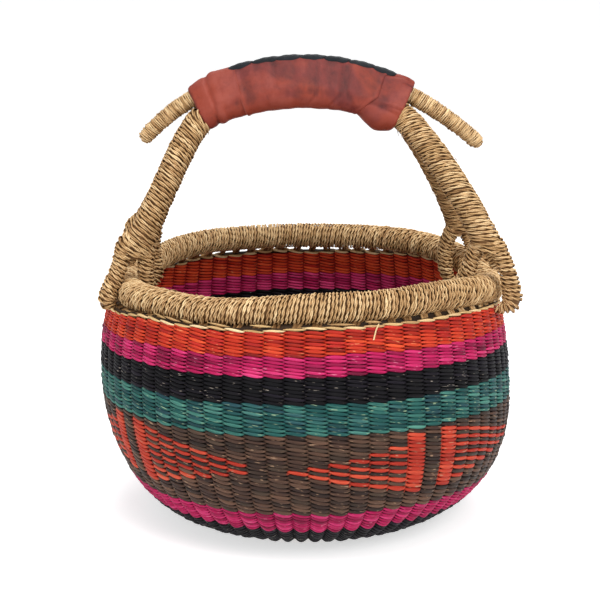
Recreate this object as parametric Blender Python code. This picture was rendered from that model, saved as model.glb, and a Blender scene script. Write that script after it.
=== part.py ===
"""Round bolga basket in metres, +Z up, standing on its flat base with the axis through the origin.

Twined straw bands sit on 68 stakes. The stakes cross a narrow slot above the border row and bend
into the wrapped rim. Two bundles form the fixed handle, and a third ends in a horn on each side.
"""
import math

import bmesh
import bpy
from mathutils import Vector

# Driving sizes of the bowl. The rest of it follows its width and the height of its rim
STAKE_COUNT = 68
BELLY_RADIUS = 0.1905
RIM_HEIGHT = 0.218
RIM_DRAW_IN = 0.0255
SLOT_DROP = 0.0194
BELLY_HEIGHT_SHARE = 0.579
BASE_RADIUS_SHARE = 0.42
BASE_WEAVE_SHARE = 0.5774
WALL_THICKNESS = 0.007
FLUTE_DEPTH = 0.0022
TOP_DRAW_IN = 0.009
LOWER_ROUND_POWER = 0.72
UPPER_ROUND_POWER = 2.4
STAKE_PHASE_SHARE = 0.5
STAKES_PER_INNER_FACET = 2

WEAVE_TOP = RIM_HEIGHT - SLOT_DROP
BELLY_HEIGHT = WEAVE_TOP * BELLY_HEIGHT_SHARE
BASE_RADIUS = BELLY_RADIUS * BASE_RADIUS_SHARE
BASE_WEAVE_RADIUS = BELLY_RADIUS * BASE_WEAVE_SHARE
RIM_RADIUS = BELLY_RADIUS - RIM_DRAW_IN

# Hand-made unevenness: the sides dip, and the weave stands higher at the front than at the back
RIM_SADDLE = 0.0088
RIM_BACK_FULLNESS = 0.0035
WALL_SADDLE = 0.0080
WALL_TILT = 0.0033
SADDLE_FADE_POWER = 4

# Bands of weft from the bottom up: where each ends, as a share of the weave's height
BAND_TOP_SHARES = {
    "lower_black_weft": 0.1334,
    "lower_magenta_weft": 0.2155,
    "lower_brown_weft": 0.3870,
    "upper_brown_weft": 0.5760,
    "teal_weft": 0.7075,
    "black_weft": 0.8192,
    "magenta_weft": 0.9028,
    "orange_weft": 1.0,
}
CURVED_BANDS = ("lower_black_weft", "lower_brown_weft")
CURVED_BAND_STEP_COUNT = 2
BORDER_HEIGHT = 0.0045
HUB_RADIUS = 0.024
HUB_THICKNESS = 0.008

# Rim: a grass ring that the stakes are bent into, bound with four lengths of cord
RIM_CORE_RADIUS = 0.0086
RIM_WRAP_RADIUS = 0.0125
RIM_WRAP_SIDES = 8
RIM_SLOT_ANGLE = math.radians(-47)
RIM_SLOT_HALF = math.radians(19)
STAKE_WIDTH = 0.0044
STAKE_DEPTH = 0.0040
WRAP_LENGTH_SHARES = (0.27, 0.22, 0.30, 0.21)
WRAP_START_GAP = 0.5

# Handle: its arch stands on the rim, a little wider than it
ARCH_OUT = 0.028
ARCH_DROP = 0.0136
ARCH_SHIFT = -0.0025
ARCH_RADIUS = RIM_RADIUS + ARCH_OUT
ARCH_CENTRE_HEIGHT = RIM_HEIGHT - ARCH_DROP
LEFT_GRIP_ANGLE = math.radians(29.5)
RIGHT_GRIP_ANGLE = math.radians(27.5)
LEFT_SEAM_ANGLE = math.radians(-17.5)
RIGHT_SEAM_ANGLE = math.radians(15.5)
BUNDLE_RADIUS = 0.0095
BUNDLE_DROP = 0.0085
HORN_RADIUS = 0.0083
HORN_RISE = 0.0109
HORN_STEP_COUNT = 3
HORN_END_SHARE = 0.82
LEFT_HORN_LENGTH = 0.059
LEFT_HORN_BEND = math.radians(20)
RIGHT_HORN_LENGTH = 0.077
RIGHT_HORN_BEND = math.radians(14)
LEG_WRAP_RADIUS = 0.0125
LEG_SIDES = 8
LEG_STEPS = 8
LEG_TOP_PULL = 0.016
LEG_FOOT_PULL = 0.040
FORK_LIFT = 0.049
LEAN_TO_AXIS_SHARE = 0.3
STRAND_RADIUS = 0.0080
STRAND_SLOT_HALF_WIDTH = 0.0050
LEATHER_THICKNESS = 0.0018
LEATHER_SIDES = 14
LACE_COUNT = 6
LACE_WIDTH = 0.0042
LACE_NECK_WIDTH = 0.0012
LACE_THICKNESS = 0.0012
LACE_COVER_SHARE = 0.80
LACE_SLANT_SHARE = 0.25
LACE_START_ANGLE = math.radians(-18)
LACE_END_ANGLE = math.radians(22)

# Pieces of the leather cover from left to right: where each starts and ends, and its sections
LEATHER_SPANS = (
    ("leather_end_left", -LEFT_GRIP_ANGLE, LEFT_SEAM_ANGLE, 2),
    ("leather_grip", LEFT_SEAM_ANGLE, RIGHT_SEAM_ANGLE, 4),
    ("leather_end_right", RIGHT_SEAM_ANGLE, RIGHT_GRIP_ANGLE, 2),
)

# Clearance between pieces that lie against each other
SEAT_GAP = 0.0003

# Each foot: its place in stake gaps round from +X, its side (right is 1) and row (rear is 1), how
# far the fork stands out from the rim's centreline and how far the outer strand stands off the
# rim, both as shares of the rim wrap's radius, and how far the leg leans in above the fork
FEET = {
    "right_front": {"gap": -4, "side": 1, "row": -1, "fork_out_share": 0.28,
                    "slack_share": 0.80, "lean": math.radians(22)},
    "right_rear": {"gap": 3, "side": 1, "row": 1, "fork_out_share": -1.04,
                   "slack_share": 0.08, "lean": math.radians(22)},
    "left_front": {"gap": 37, "side": -1, "row": -1, "fork_out_share": -0.84,
                   "slack_share": 0.04, "lean": math.radians(27)},
    "left_rear": {"gap": 31, "side": -1, "row": 1, "fork_out_share": -0.60,
                  "slack_share": 0.04, "lean": math.radians(27)},
}

# Lower run of a strand round the rim: direction from the rim's centre in degrees, then its
# half thickness and half width as shares of the way from the slot's size to the full size
STRAND_TURN = (
    (4, 1.00, 1.00),
    (-16, 0.62, 0.70),
    (-34, 0.16, 0.25),
    (-60, 0.00, 0.00),
    (-88, 0.00, 0.00),
    (-115, 0.10, 0.20),
    (-145, 0.45, 0.60),
    (-180, 0.90, 1.00),
)

STAKE_ANGLE = 2 * math.pi / STAKE_COUNT
FIRST_STAKE_ANGLE = STAKE_ANGLE * STAKE_PHASE_SHARE
INNER_FACETS = STAKE_COUNT // STAKES_PER_INNER_FACET
STRAND_SLOT_HALF = 0.0013
BUNDLE_SPREAD = LEG_WRAP_RADIUS + SEAT_GAP


def clear_scene():
    for item in list(bpy.data.objects):
        bpy.data.objects.remove(item, do_unlink=True)


def make_material(name, colour, roughness):
    material = bpy.data.materials.new(name)
    material.use_nodes = True
    shader = material.node_tree.nodes["Principled BSDF"]
    shader.inputs["Base Color"].default_value = (*colour, 1.0)
    shader.inputs["Roughness"].default_value = roughness
    shader.inputs["Metallic"].default_value = 0.0
    return material


def finish_object(name, mesh_builder, material):
    bmesh.ops.recalc_face_normals(mesh_builder, faces=mesh_builder.faces)
    mesh = bpy.data.meshes.new(name)
    mesh_builder.to_mesh(mesh)
    mesh_builder.free()
    mesh.materials.append(material)
    mesh.shade_smooth()
    mesh.set_sharp_from_angle(angle=math.radians(50))
    item = bpy.data.objects.new(name, mesh)
    bpy.context.collection.objects.link(item)
    return item


def saddle_fade(height):
    """Share of the unevenness that a row keeps: none on the floor, nearly all at the rim."""
    return 1 - (1 - min(height, RIM_HEIGHT) / RIM_HEIGHT) ** SADDLE_FADE_POWER


def wall_lift(height, angle):
    uneven = -WALL_SADDLE * math.cos(2 * angle) - WALL_TILT * math.sin(angle)
    return saddle_fade(height) * uneven


def rim_height(angle):
    fullness = RIM_BACK_FULLNESS * (1 + math.sin(angle)) / 2 * math.sin(2 * angle) ** 2
    return RIM_HEIGHT - RIM_SADDLE * math.cos(2 * angle) + fullness


def profile_point(turn):
    """Crest of the outer wall. Turn 0 is the flat base's edge, 1 the belly and above 1 the top."""
    if turn <= 1:
        quarter = turn * math.pi / 2
        spread = math.sin(quarter) ** LOWER_ROUND_POWER
        radius = BASE_RADIUS + (BELLY_RADIUS - BASE_RADIUS) * spread
        return radius, BELLY_HEIGHT * (1 - math.cos(quarter))
    rise = turn - 1
    radius = BELLY_RADIUS - TOP_DRAW_IN * rise ** UPPER_ROUND_POWER
    return radius, BELLY_HEIGHT + (WEAVE_TOP - BELLY_HEIGHT) * rise


def turn_at_height(height):
    if height <= BELLY_HEIGHT:
        return math.acos(1 - height / BELLY_HEIGHT) / (math.pi / 2)
    return 1 + (height - BELLY_HEIGHT) / (WEAVE_TOP - BELLY_HEIGHT)


def turn_at_base_radius(radius):
    spread = (radius - BASE_RADIUS) / (BELLY_RADIUS - BASE_RADIUS)
    return math.asin(spread ** (1 / LOWER_ROUND_POWER)) / (math.pi / 2)


def wall_points(turn):
    """Outer crest, outer valley and inner face of the wall at one turn, as radius and height."""
    step = 1e-3
    low = profile_point(max(turn - step, step))
    high = profile_point(max(turn - step, step) + 2 * step)
    along = Vector((high[0] - low[0], high[1] - low[1])).normalized()
    inward = Vector((-along.y, along.x))
    crest = Vector(profile_point(turn))
    if turn < step:
        inward = Vector((0, 1))
    return crest, crest + inward * FLUTE_DEPTH, crest + inward * WALL_THICKNESS


def stake_angle(number):
    return FIRST_STAKE_ANGLE + number * STAKE_ANGLE


def polar(radius, angle, height):
    return Vector((radius * math.cos(angle), radius * math.sin(angle), height))


def bridge_loops(builder, first, second):
    count = len(first)
    for index in range(count):
        after = (index + 1) % count
        builder.faces.new((first[index], first[after], second[after], second[index]))


def stitch(builder, outer, inner):
    """Closes a ring end between a finely and a coarsely divided circle."""
    ratio = len(outer) // len(inner)
    for place in range(len(inner)):
        near = inner[place]
        far = inner[(place + 1) % len(inner)]
        for step in range(ratio):
            start = outer[place * ratio + step]
            end = outer[(place * ratio + step + 1) % len(outer)]
            builder.faces.new((near if step < ratio // 2 else far, start, end))
            if step == ratio // 2 - 1:
                builder.faces.new((near, end, far))


def fluted_ring(builder, turn, lift_share=1.0, ribs=STAKE_COUNT, fade=1.0):
    """Adds one outer circle of crests and valleys and one plain inner circle."""
    crest, valley, inside = wall_points(turn)
    outer = []
    for index in range(2 * ribs):
        angle = FIRST_STAKE_ANGLE + index * math.pi / ribs
        point = crest if index % 2 == 0 else crest.lerp(valley, fade)
        lift = lift_share * wall_lift(point.y, angle)
        outer.append(builder.verts.new(polar(point.x, angle, point.y + lift)))
    inner = []
    for index in range(INNER_FACETS):
        angle = FIRST_STAKE_ANGLE + index * 2 * math.pi / INNER_FACETS
        lift = lift_share * wall_lift(inside.y, angle)
        inner.append(builder.verts.new(polar(inside.x, angle, inside.y + lift)))
    return outer, inner


def weft_band(name, bottom_turn, top_turn, steps, material):
    """One colour of twined rows: a closed ring between two turns of the profile."""
    builder = bmesh.new()
    rings = []
    for step in range(steps + 1):
        turn = bottom_turn + (top_turn - bottom_turn) * step / steps
        rings.append(fluted_ring(builder, turn))
    for low, high in zip(rings, rings[1:]):
        bridge_loops(builder, low[0], high[0])
        bridge_loops(builder, high[1], low[1])
    stitch(builder, *rings[0])
    stitch(builder, *rings[-1])
    return finish_object(name, builder, material)


def turn_step_for_gap(turn):
    """Half a seat gap, as a change of turn at this place on the profile."""
    step = 1e-3
    here = Vector(profile_point(turn))
    there = Vector(profile_point(turn + step))
    return step * SEAT_GAP / 2 / (there - here).length


def build_bands(colours):
    low = turn_at_base_radius(BASE_WEAVE_RADIUS)
    for name, top_share in BAND_TOP_SHARES.items():
        steps = CURVED_BAND_STEP_COUNT if name in CURVED_BANDS else 1
        high = turn_at_height(WEAVE_TOP * top_share)
        bottom = low + turn_step_for_gap(low)
        top = high - turn_step_for_gap(high)
        weft_band(name, bottom, top, steps, colours[name])
        low = high
    border_low = low + turn_step_for_gap(low)
    border_high = turn_at_height(WEAVE_TOP + BORDER_HEIGHT)
    weft_band("border_row", border_low, border_high, 1, colours["border_row"])


def build_base(colours):
    """Flat natural rounds under the bowl: ribs of paired stakes that fade towards the hub."""
    ribs = STAKE_COUNT // 2
    edge_turn = turn_at_base_radius(BASE_WEAVE_RADIUS)
    edge_turn -= turn_step_for_gap(edge_turn)
    builder = bmesh.new()
    rings = []
    for share in (1.0, 0.0):
        rings.append(fluted_ring(builder, edge_turn * share, ribs=ribs, fade=share))
    inner_radius = HUB_RADIUS + SEAT_GAP
    low = []
    high = []
    for index in range(2 * ribs):
        angle = FIRST_STAKE_ANGLE + index * math.pi / ribs
        low.append(builder.verts.new(polar(inner_radius, angle, 0)))
    for index in range(INNER_FACETS):
        angle = FIRST_STAKE_ANGLE + index * 2 * math.pi / INNER_FACETS
        high.append(builder.verts.new(polar(inner_radius, angle, WALL_THICKNESS)))
    rings.append((low, high))
    for first, second in zip(rings, rings[1:]):
        bridge_loops(builder, first[0], second[0])
        bridge_loops(builder, second[1], first[1])
    stitch(builder, *rings[0])
    stitch(builder, *rings[-1])
    finish_object("base_weave", builder, colours["base_weave"])

    builder = bmesh.new()
    bmesh.ops.create_cone(builder, cap_ends=True, segments=INNER_FACETS, radius1=HUB_RADIUS,
                          radius2=HUB_RADIUS, depth=HUB_THICKNESS)
    hub = finish_object("base_hub", builder, colours["base_hub"])
    hub.location = (0, 0, HUB_THICKNESS / 2)


def rim_section_point(angle, direction, distance):
    """A point round the rim's centreline: direction 0 is outward and 90 degrees is up."""
    radius = RIM_RADIUS + distance * math.cos(direction)
    return polar(radius, angle, rim_height(angle) + distance * math.sin(direction))


def stake_foot_height(angle):
    """Where a bare stake stands on the border row."""
    top = WEAVE_TOP + BORDER_HEIGHT
    return top + wall_lift(top, angle) + SEAT_GAP


def build_rim_core(colours):
    """Grass ring inside the rim, one body with the stakes' bare ends across the slot."""
    builder = bmesh.new()
    directions = [RIM_SLOT_ANGLE + math.radians(offset) for offset in (-16, 16, 135, 225)]
    half = STAKE_WIDTH / 2 / RIM_RADIUS
    sections = []
    for index in range(2 * STAKE_COUNT):
        angle = stake_angle(index // 2) + (half if index % 2 else -half)
        ring = []
        for direction in directions:
            point = rim_section_point(angle, direction, RIM_CORE_RADIUS)
            ring.append(builder.verts.new(point))
        sections.append(ring)
    crest, _, inside = wall_points(turn_at_height(WEAVE_TOP + BORDER_HEIGHT))
    foot_radius = (crest.x + inside.x) / 2 - FLUTE_DEPTH / 2
    for index, ring in enumerate(sections):
        after = sections[(index + 1) % len(sections)]
        for side in range(1, len(ring)):
            other = (side + 1) % len(ring)
            builder.faces.new((ring[side], ring[other], after[other], after[side]))
        if index % 2:
            builder.faces.new((ring[0], ring[1], after[1], after[0]))
            continue
        angle = stake_angle(index // 2)
        foot = []
        for shift, depth in ((-half, -1), (-half, 1), (half, 1), (half, -1)):
            radius = foot_radius + depth * STAKE_DEPTH / 2
            place = polar(radius, angle + shift, stake_foot_height(angle + shift))
            foot.append(builder.verts.new(place))
        top = [ring[0], ring[1], after[1], after[0]]
        bridge_loops(builder, top, foot)
        builder.faces.new(foot)
    finish_object("rim_core_and_stakes", builder, colours["rim_core_and_stakes"])


def build_rim_wraps(colours):
    """Four lengths of binding cord, each a slotted sleeve along its part of the rim."""
    opening = RIM_SLOT_HALF
    sweep = 2 * math.pi - 2 * opening
    inner_count = RIM_WRAP_SIDES - 3
    end = WRAP_START_GAP
    for number, share in enumerate(WRAP_LENGTH_SHARES, 1):
        first = end
        end = first + round(share * STAKE_COUNT)
        if number == len(WRAP_LENGTH_SHARES):
            end = WRAP_START_GAP + STAKE_COUNT
        builder = bmesh.new()
        sections = []
        steps = round(end - first)
        for step in range(steps + 1):
            angle = stake_angle(first + step)
            if step == steps:
                angle -= SEAT_GAP / RIM_RADIUS
            ring = []
            for index in range(RIM_WRAP_SIDES + 1):
                direction = RIM_SLOT_ANGLE + opening + sweep * index / RIM_WRAP_SIDES
                ring.append(rim_section_point(angle, direction, RIM_WRAP_RADIUS))
            for index in range(inner_count + 1):
                direction = RIM_SLOT_ANGLE - opening - sweep * index / inner_count
                distance = (RIM_CORE_RADIUS + SEAT_GAP) / math.cos(sweep / inner_count / 2)
                ring.append(rim_section_point(angle, direction, distance))
            sections.append([builder.verts.new(point) for point in ring])
        for low, high in zip(sections, sections[1:]):
            bridge_loops(builder, low, high)
        for ring in (sections[0], sections[-1]):
            cap_slotted_end(builder, ring, RIM_WRAP_SIDES + 1, inner_count + 1)
        name = f"rim_wrap_{number}"
        finish_object(name, builder, colours[name])


def cap_slotted_end(builder, ring, outer_count, inner_count):
    """Fills the C-shaped end of a slotted sleeve with triangles."""
    outer = ring[:outer_count]
    inner = ring[outer_count:][::-1]
    low = 0
    high = 0
    while low < outer_count - 1 or high < inner_count - 1:
        outer_share = (low + 1) / (outer_count - 1)
        inner_share = (high + 1) / (inner_count - 1)
        if low < outer_count - 1 and (outer_share <= inner_share or high == inner_count - 1):
            builder.faces.new((outer[low], outer[low + 1], inner[high]))
            low += 1
        else:
            builder.faces.new((outer[low], inner[high + 1], inner[high]))
            high += 1


def smooth_path(knots, steps):
    """Points on a Catmull-Rom curve through the knots, with the ends included."""
    points = [knots[0] * 2 - knots[1], *knots, knots[-1] * 2 - knots[-2]]
    path = []
    for index in range(1, len(points) - 2):
        before, start, end, after = points[index - 1:index + 3]
        for step in range(steps):
            share = step / steps
            path.append(0.5 * (2 * start + (end - before) * share
                               + (2 * before - 5 * start + 4 * end - after) * share ** 2
                               + (3 * start - before - 3 * end + after) * share ** 3))
    path.append(knots[-1].copy())
    return path


def path_tangents(path, first, last):
    """Direction along a path at each point, with the two end directions given."""
    middle = [(after - before).normalized() for before, after in zip(path, path[2:])]
    return [first, *middle, last]


def tube_rings(builder, path, tangents, across, sizes, sides):
    """Rings of an oval section along a path. Across is the direction of the oval's width."""
    rings = []
    for point, tangent, (half_thick, half_wide) in zip(path, tangents, sizes):
        wide = (across - tangent * across.dot(tangent)).normalized()
        thick = tangent.cross(wide)
        ring = []
        for index in range(sides):
            angle = 2 * math.pi * (index + 0.5) / sides
            place = wide * half_wide * math.cos(angle) + thick * half_thick * math.sin(angle)
            ring.append(builder.verts.new(point + place))
        rings.append(ring)
    for low, high in zip(rings, rings[1:]):
        bridge_loops(builder, low, high)
    return rings


def solid_tube(name, path, tangents, across, sizes, sides, material):
    builder = bmesh.new()
    rings = tube_rings(builder, path, tangents, across, sizes, sides)
    builder.faces.new(rings[0])
    builder.faces.new(rings[-1])
    return finish_object(name, builder, material)


def hollow_tube(name, path, tangents, across, inner, outer, sides, material):
    builder = bmesh.new()
    outside = tube_rings(builder, path, tangents, across, [(outer, outer)] * len(path), sides)
    inside = tube_rings(builder, path, tangents, across, [(inner, inner)] * len(path), sides)
    bridge_loops(builder, outside[0], inside[0])
    bridge_loops(builder, outside[-1], inside[-1])
    return finish_object(name, builder, material)


def arch_point(angle, rise, depth=0.0):
    """A point over the mouth: angle 0 is the top of the arch and positive angles lie to +X."""
    radius = ARCH_RADIUS + rise
    return Vector((ARCH_SHIFT + radius * math.sin(angle), depth,
                   ARCH_CENTRE_HEIGHT + radius * math.cos(angle)))


def foot_frame(foot):
    """Centre of the rim at a foot, the outward direction and the direction along the rim."""
    angle = foot["gap"] * STAKE_ANGLE
    outward = Vector((math.cos(angle), math.sin(angle), 0))
    along = Vector((-math.sin(angle), math.cos(angle), 0))
    return outward * RIM_RADIUS + Vector((0, 0, rim_height(angle))), outward, along


def fork_point(foot):
    centre, outward, _ = foot_frame(foot)
    fork_out = foot["fork_out_share"] * RIM_WRAP_RADIUS
    return centre + outward * fork_out + Vector((0, 0, FORK_LIFT))


def leg_direction(foot):
    """Unit direction of a leg where it leaves its fork, leaning in over the mouth."""
    _, outward, _ = foot_frame(foot)
    lean = Vector((-foot["side"], 0, 0)).lerp(-outward, LEAN_TO_AXIS_SHARE)
    return (lean.normalized() * math.sin(foot["lean"])
            + Vector((0, 0, math.cos(foot["lean"]))))


def arch_tangent(angle):
    return Vector((math.cos(angle), 0, -math.sin(angle)))


def grip_stations():
    """Angles of the sections along the grip, the same for the leather and for what it holds."""
    angles = [-LEFT_GRIP_ANGLE]
    for _, start, end, steps in LEATHER_SPANS:
        angles.extend(start + (end - start) * step / steps for step in range(1, steps + 1))
    return angles


def leg_path(foot):
    """Centreline of a leg from its fork up to the end of the grip, and its directions."""
    up = leg_direction(foot)
    low = fork_point(foot) + up * SEAT_GAP
    depth = foot["row"] * BUNDLE_SPREAD
    end_angle = RIGHT_GRIP_ANGLE if foot["side"] > 0 else -LEFT_GRIP_ANGLE
    top = arch_point(end_angle, -BUNDLE_DROP, depth)
    into_grip = arch_tangent(end_angle) * -foot["side"]
    pulls = (low, low + up * LEG_FOOT_PULL, top - into_grip * LEG_TOP_PULL, top)
    path = []
    tangents = []
    for step in range(LEG_STEPS + 1):
        share = step / LEG_STEPS
        rest = 1 - share
        path.append(pulls[0] * rest ** 3 + pulls[1] * (3 * rest ** 2 * share)
                    + pulls[2] * (3 * rest * share ** 2) + pulls[3] * share ** 3)
        slope = ((pulls[1] - pulls[0]) * rest ** 2 + (pulls[2] - pulls[1]) * (2 * rest * share)
                 + (pulls[3] - pulls[2]) * share ** 2)
        tangents.append(slope.normalized())
    return path, tangents


def build_bundle(name, left, right, material):
    """One continuous bundle: up a left leg, through the grip and down a right leg."""
    path, tangents = leg_path(left)
    depth = left["row"] * BUNDLE_SPREAD
    for angle in grip_stations()[1:-1]:
        path.append(arch_point(angle, -BUNDLE_DROP, depth))
        tangents.append(arch_tangent(angle))
    right_path, right_tangents = leg_path(right)
    path.extend(reversed(right_path))
    tangents.extend(-tangent for tangent in reversed(right_tangents))
    sizes = [(BUNDLE_RADIUS, BUNDLE_RADIUS)] * len(path)
    solid_tube(name, path, tangents, Vector((0, 1, 0)), sizes, LEG_SIDES, material)


def build_leg_wrap(name, foot, material):
    """Cord binding of a leg, a sleeve round the bundle from the fork to the leather."""
    path, tangents = leg_path(foot)
    path[-1] = path[-1] - tangents[-1] * SEAT_GAP
    hollow_tube(name, path, tangents, Vector((0, 1, 0)), BUNDLE_RADIUS + SEAT_GAP,
                LEG_WRAP_RADIUS, LEG_SIDES, material)


def build_rim_loop(name, foot, material):
    """The fork of a leg: one strand that passes under the rim between two stakes."""
    centre, outward, along = foot_frame(foot)
    up = leg_direction(foot)
    spread = Vector((0, 0, 1)).cross(along).normalized()
    spread = spread if spread.dot(outward) > 0 else -spread
    fork = fork_point(foot) - up * SEAT_GAP
    side_step = (outward - up * outward.dot(up)).normalized() * (STRAND_RADIUS + SEAT_GAP)
    full = (STRAND_RADIUS, STRAND_RADIUS)
    knots = []
    sizes = []
    bearing = RIM_WRAP_RADIUS + SEAT_GAP
    foot_slack = foot["slack_share"] * RIM_WRAP_RADIUS
    for degrees, thick_share, wide_share in STRAND_TURN:
        half_thick = STRAND_SLOT_HALF + (STRAND_RADIUS - STRAND_SLOT_HALF) * thick_share
        half_wide = (STRAND_SLOT_HALF_WIDTH
                     + (STRAND_RADIUS - STRAND_SLOT_HALF_WIDTH) * wide_share)
        slack = foot_slack * max(0, math.cos(math.radians(degrees))) * thick_share
        distance = bearing + half_thick + slack
        direction = math.radians(degrees)
        knots.append(centre + outward * distance * math.cos(direction)
                     + Vector((0, 0, distance * math.sin(direction))))
        sizes.append((half_thick, half_wide))
    outer_side = (knots[0] + fork + side_step) / 2 + spread * (foot_slack + SEAT_GAP) / 2
    inner_side = (knots[-1] + fork - side_step) / 2
    knots = [fork + side_step, outer_side, *knots, inner_side, fork - side_step]
    sizes = [full, full, *sizes, full, full]
    path = smooth_path(knots, 2)
    spread_sizes = []
    for index in range(len(path)):
        place = index / 2
        low = int(place)
        high = min(low + 1, len(sizes) - 1)
        share = place - low
        spread_sizes.append(tuple(a + (b - a) * share for a, b in zip(sizes[low], sizes[high])))
    tangents = path_tangents(path, -up, up)
    solid_tube(name, path, tangents, along, spread_sizes, LEG_SIDES, material)


def horn_end(side):
    """Points, directions and radii of one horn, from the leather's end to its cut tip."""
    start = RIGHT_GRIP_ANGLE if side > 0 else LEFT_GRIP_ANGLE
    length = RIGHT_HORN_LENGTH if side > 0 else LEFT_HORN_LENGTH
    bend = RIGHT_HORN_BEND if side > 0 else LEFT_HORN_BEND
    root = arch_point(side * start, HORN_RISE)
    stations = []
    for step in range(1, HORN_STEP_COUNT + 1):
        share = step / HORN_STEP_COUNT
        angle = start + bend * share
        reach = Vector((side * (math.sin(angle) - math.sin(start)), 0,
                        math.cos(angle) - math.cos(start))) * length / bend
        radius = HORN_RADIUS * (1 - (1 - HORN_END_SHARE) * share ** 2)
        stations.append((root + reach, arch_tangent(side * angle), (radius, radius)))
    return stations


def build_horns(name, material):
    """Third bundle of the handle, which ends in a cut horn past the leather on each side."""
    grip = [(arch_point(angle, HORN_RISE), arch_tangent(angle), (HORN_RADIUS, HORN_RADIUS))
            for angle in grip_stations()]
    stations = [*reversed(horn_end(-1)), *grip, *horn_end(1)]
    path, tangents, sizes = zip(*stations)
    solid_tube(name, path, tangents, Vector((0, 1, 0)), sizes, LEG_SIDES, material)


def taut_section(offset):
    """Outline of leather pulled tight round the three bundles, as depth and rise."""
    circles = (
        (0, HORN_RISE, HORN_RADIUS),
        (-BUNDLE_SPREAD, -BUNDLE_DROP, BUNDLE_RADIUS),
        (BUNDLE_SPREAD, -BUNDLE_DROP, BUNDLE_RADIUS),
    )
    lines = []
    for index in range(LEATHER_SIDES):
        angle = 2 * math.pi * (index + 0.5) / LEATHER_SIDES
        normal = Vector((math.cos(angle), math.sin(angle)))
        reach = max(normal.x * x + normal.y * y + radius for x, y, radius in circles)
        lines.append((normal, reach + offset))
    outline = []
    for index, (first, reach) in enumerate(lines):
        second, other = lines[(index + 1) % len(lines)]
        cross = first.x * second.y - first.y * second.x
        outline.append(((reach * second.y - other * first.y) / cross,
                        (first.x * other - second.x * reach) / cross))
    return outline


def build_leather(name, start, end, steps, material):
    builder = bmesh.new()
    inside = taut_section(SEAT_GAP)
    outside = taut_section(SEAT_GAP + LEATHER_THICKNESS)
    rings = []
    for step in range(steps + 1):
        angle = start + (end - start) * step / steps
        rings.append([[builder.verts.new(arch_point(angle, rise, depth)) for depth, rise in outline]
                      for outline in (outside, inside)])
    for low, high in zip(rings, rings[1:]):
        bridge_loops(builder, low[0], high[0])
        bridge_loops(builder, high[1], low[1])
    bridge_loops(builder, rings[0][0], rings[0][1])
    bridge_loops(builder, rings[-1][0], rings[-1][1])
    finish_object(name, builder, material)


def build_lacing(material):
    """One lace along the top seam: wide slanted stitches with narrow necks where it dips."""
    builder = bmesh.new()
    top = max(rise for _, rise in taut_section(SEAT_GAP + LEATHER_THICKNESS))
    pitch = (LACE_END_ANGLE - LACE_START_ANGLE) / LACE_COUNT
    rings = []
    for stitch_number in range(LACE_COUNT):
        for place, half_width in ((0, LACE_NECK_WIDTH / 2), (LACE_SLANT_SHARE, LACE_WIDTH / 2),
                                  (LACE_COVER_SHARE, LACE_WIDTH / 2)):
            ring = []
            for side, rise in ((-1, 0), (1, 0), (1, LACE_THICKNESS), (-1, LACE_THICKNESS)):
                slant = side * LACE_SLANT_SHARE / 2 if place else 0
                angle = LACE_START_ANGLE + pitch * (stitch_number + place + slant)
                point = arch_point(angle, top + SEAT_GAP + rise, side * half_width)
                ring.append(builder.verts.new(point))
            rings.append(ring)
    for low, high in zip(rings, rings[1:]):
        bridge_loops(builder, low, high)
    builder.faces.new(rings[0])
    builder.faces.new(rings[-1])
    finish_object("grip_lacing", builder, material)


def build_handle(colours):
    for row in ("front", "rear"):
        name = f"{row}_handle_bundle"
        build_bundle(name, FEET[f"left_{row}"], FEET[f"right_{row}"], colours[name])
    for place, foot in FEET.items():
        build_leg_wrap(f"{place}_leg_wrap", foot, colours[f"{place}_leg_wrap"])
        build_rim_loop(f"{place}_rim_loop", foot, colours[f"{place}_rim_loop"])
    build_horns("horn_bundle", colours["horn_bundle"])
    half_gap = SEAT_GAP / 2 / ARCH_RADIUS
    for name, start, end, steps in LEATHER_SPANS:
        first = start + (half_gap if start > -LEFT_GRIP_ANGLE else 0)
        last = end - (half_gap if end < RIGHT_GRIP_ANGLE else 0)
        build_leather(name, first, last, steps, colours[name])
    build_lacing(colours["grip_lacing"])


def node_materials():
    straw = (0.47, 0.30, 0.13)
    pale_straw = (0.60, 0.43, 0.22)
    leather = (0.24, 0.065, 0.045)
    finishes = {
        "base_hub": (straw, 0.75),
        "base_weave": (straw, 0.75),
        "lower_black_weft": ((0.012, 0.014, 0.022), 0.55),
        "lower_magenta_weft": ((0.36, 0.012, 0.075), 0.6),
        "lower_brown_weft": ((0.12, 0.065, 0.045), 0.65),
        "upper_brown_weft": ((0.12, 0.065, 0.045), 0.65),
        "teal_weft": ((0.03, 0.16, 0.15), 0.6),
        "black_weft": ((0.012, 0.014, 0.022), 0.55),
        "magenta_weft": ((0.45, 0.015, 0.09), 0.6),
        "orange_weft": ((0.72, 0.10, 0.03), 0.6),
        "border_row": (pale_straw, 0.7),
        "rim_core_and_stakes": (pale_straw, 0.75),
        "front_handle_bundle": (straw, 0.75),
        "rear_handle_bundle": (straw, 0.75),
        "horn_bundle": (straw, 0.7),
        "leather_grip": (leather, 0.5),
        "leather_end_left": (leather, 0.5),
        "leather_end_right": (leather, 0.5),
        "grip_lacing": ((0.018, 0.020, 0.026), 0.5),
    }
    for number in range(1, len(WRAP_LENGTH_SHARES) + 1):
        finishes[f"rim_wrap_{number}"] = (straw, 0.7)
    for place in FEET:
        finishes[f"{place}_leg_wrap"] = (straw, 0.7)
        finishes[f"{place}_rim_loop"] = (straw, 0.7)
    return {name: make_material(name, colour, rough) for name, (colour, rough) in finishes.items()}


def build_basket():
    clear_scene()
    colours = node_materials()
    build_bands(colours)
    build_base(colours)
    build_rim_core(colours)
    build_rim_wraps(colours)
    build_handle(colours)


build_basket()
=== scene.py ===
"""Looks of the round bolga basket: twined dyed straw, wrapped rim and handle, leather grip."""
import math

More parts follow.
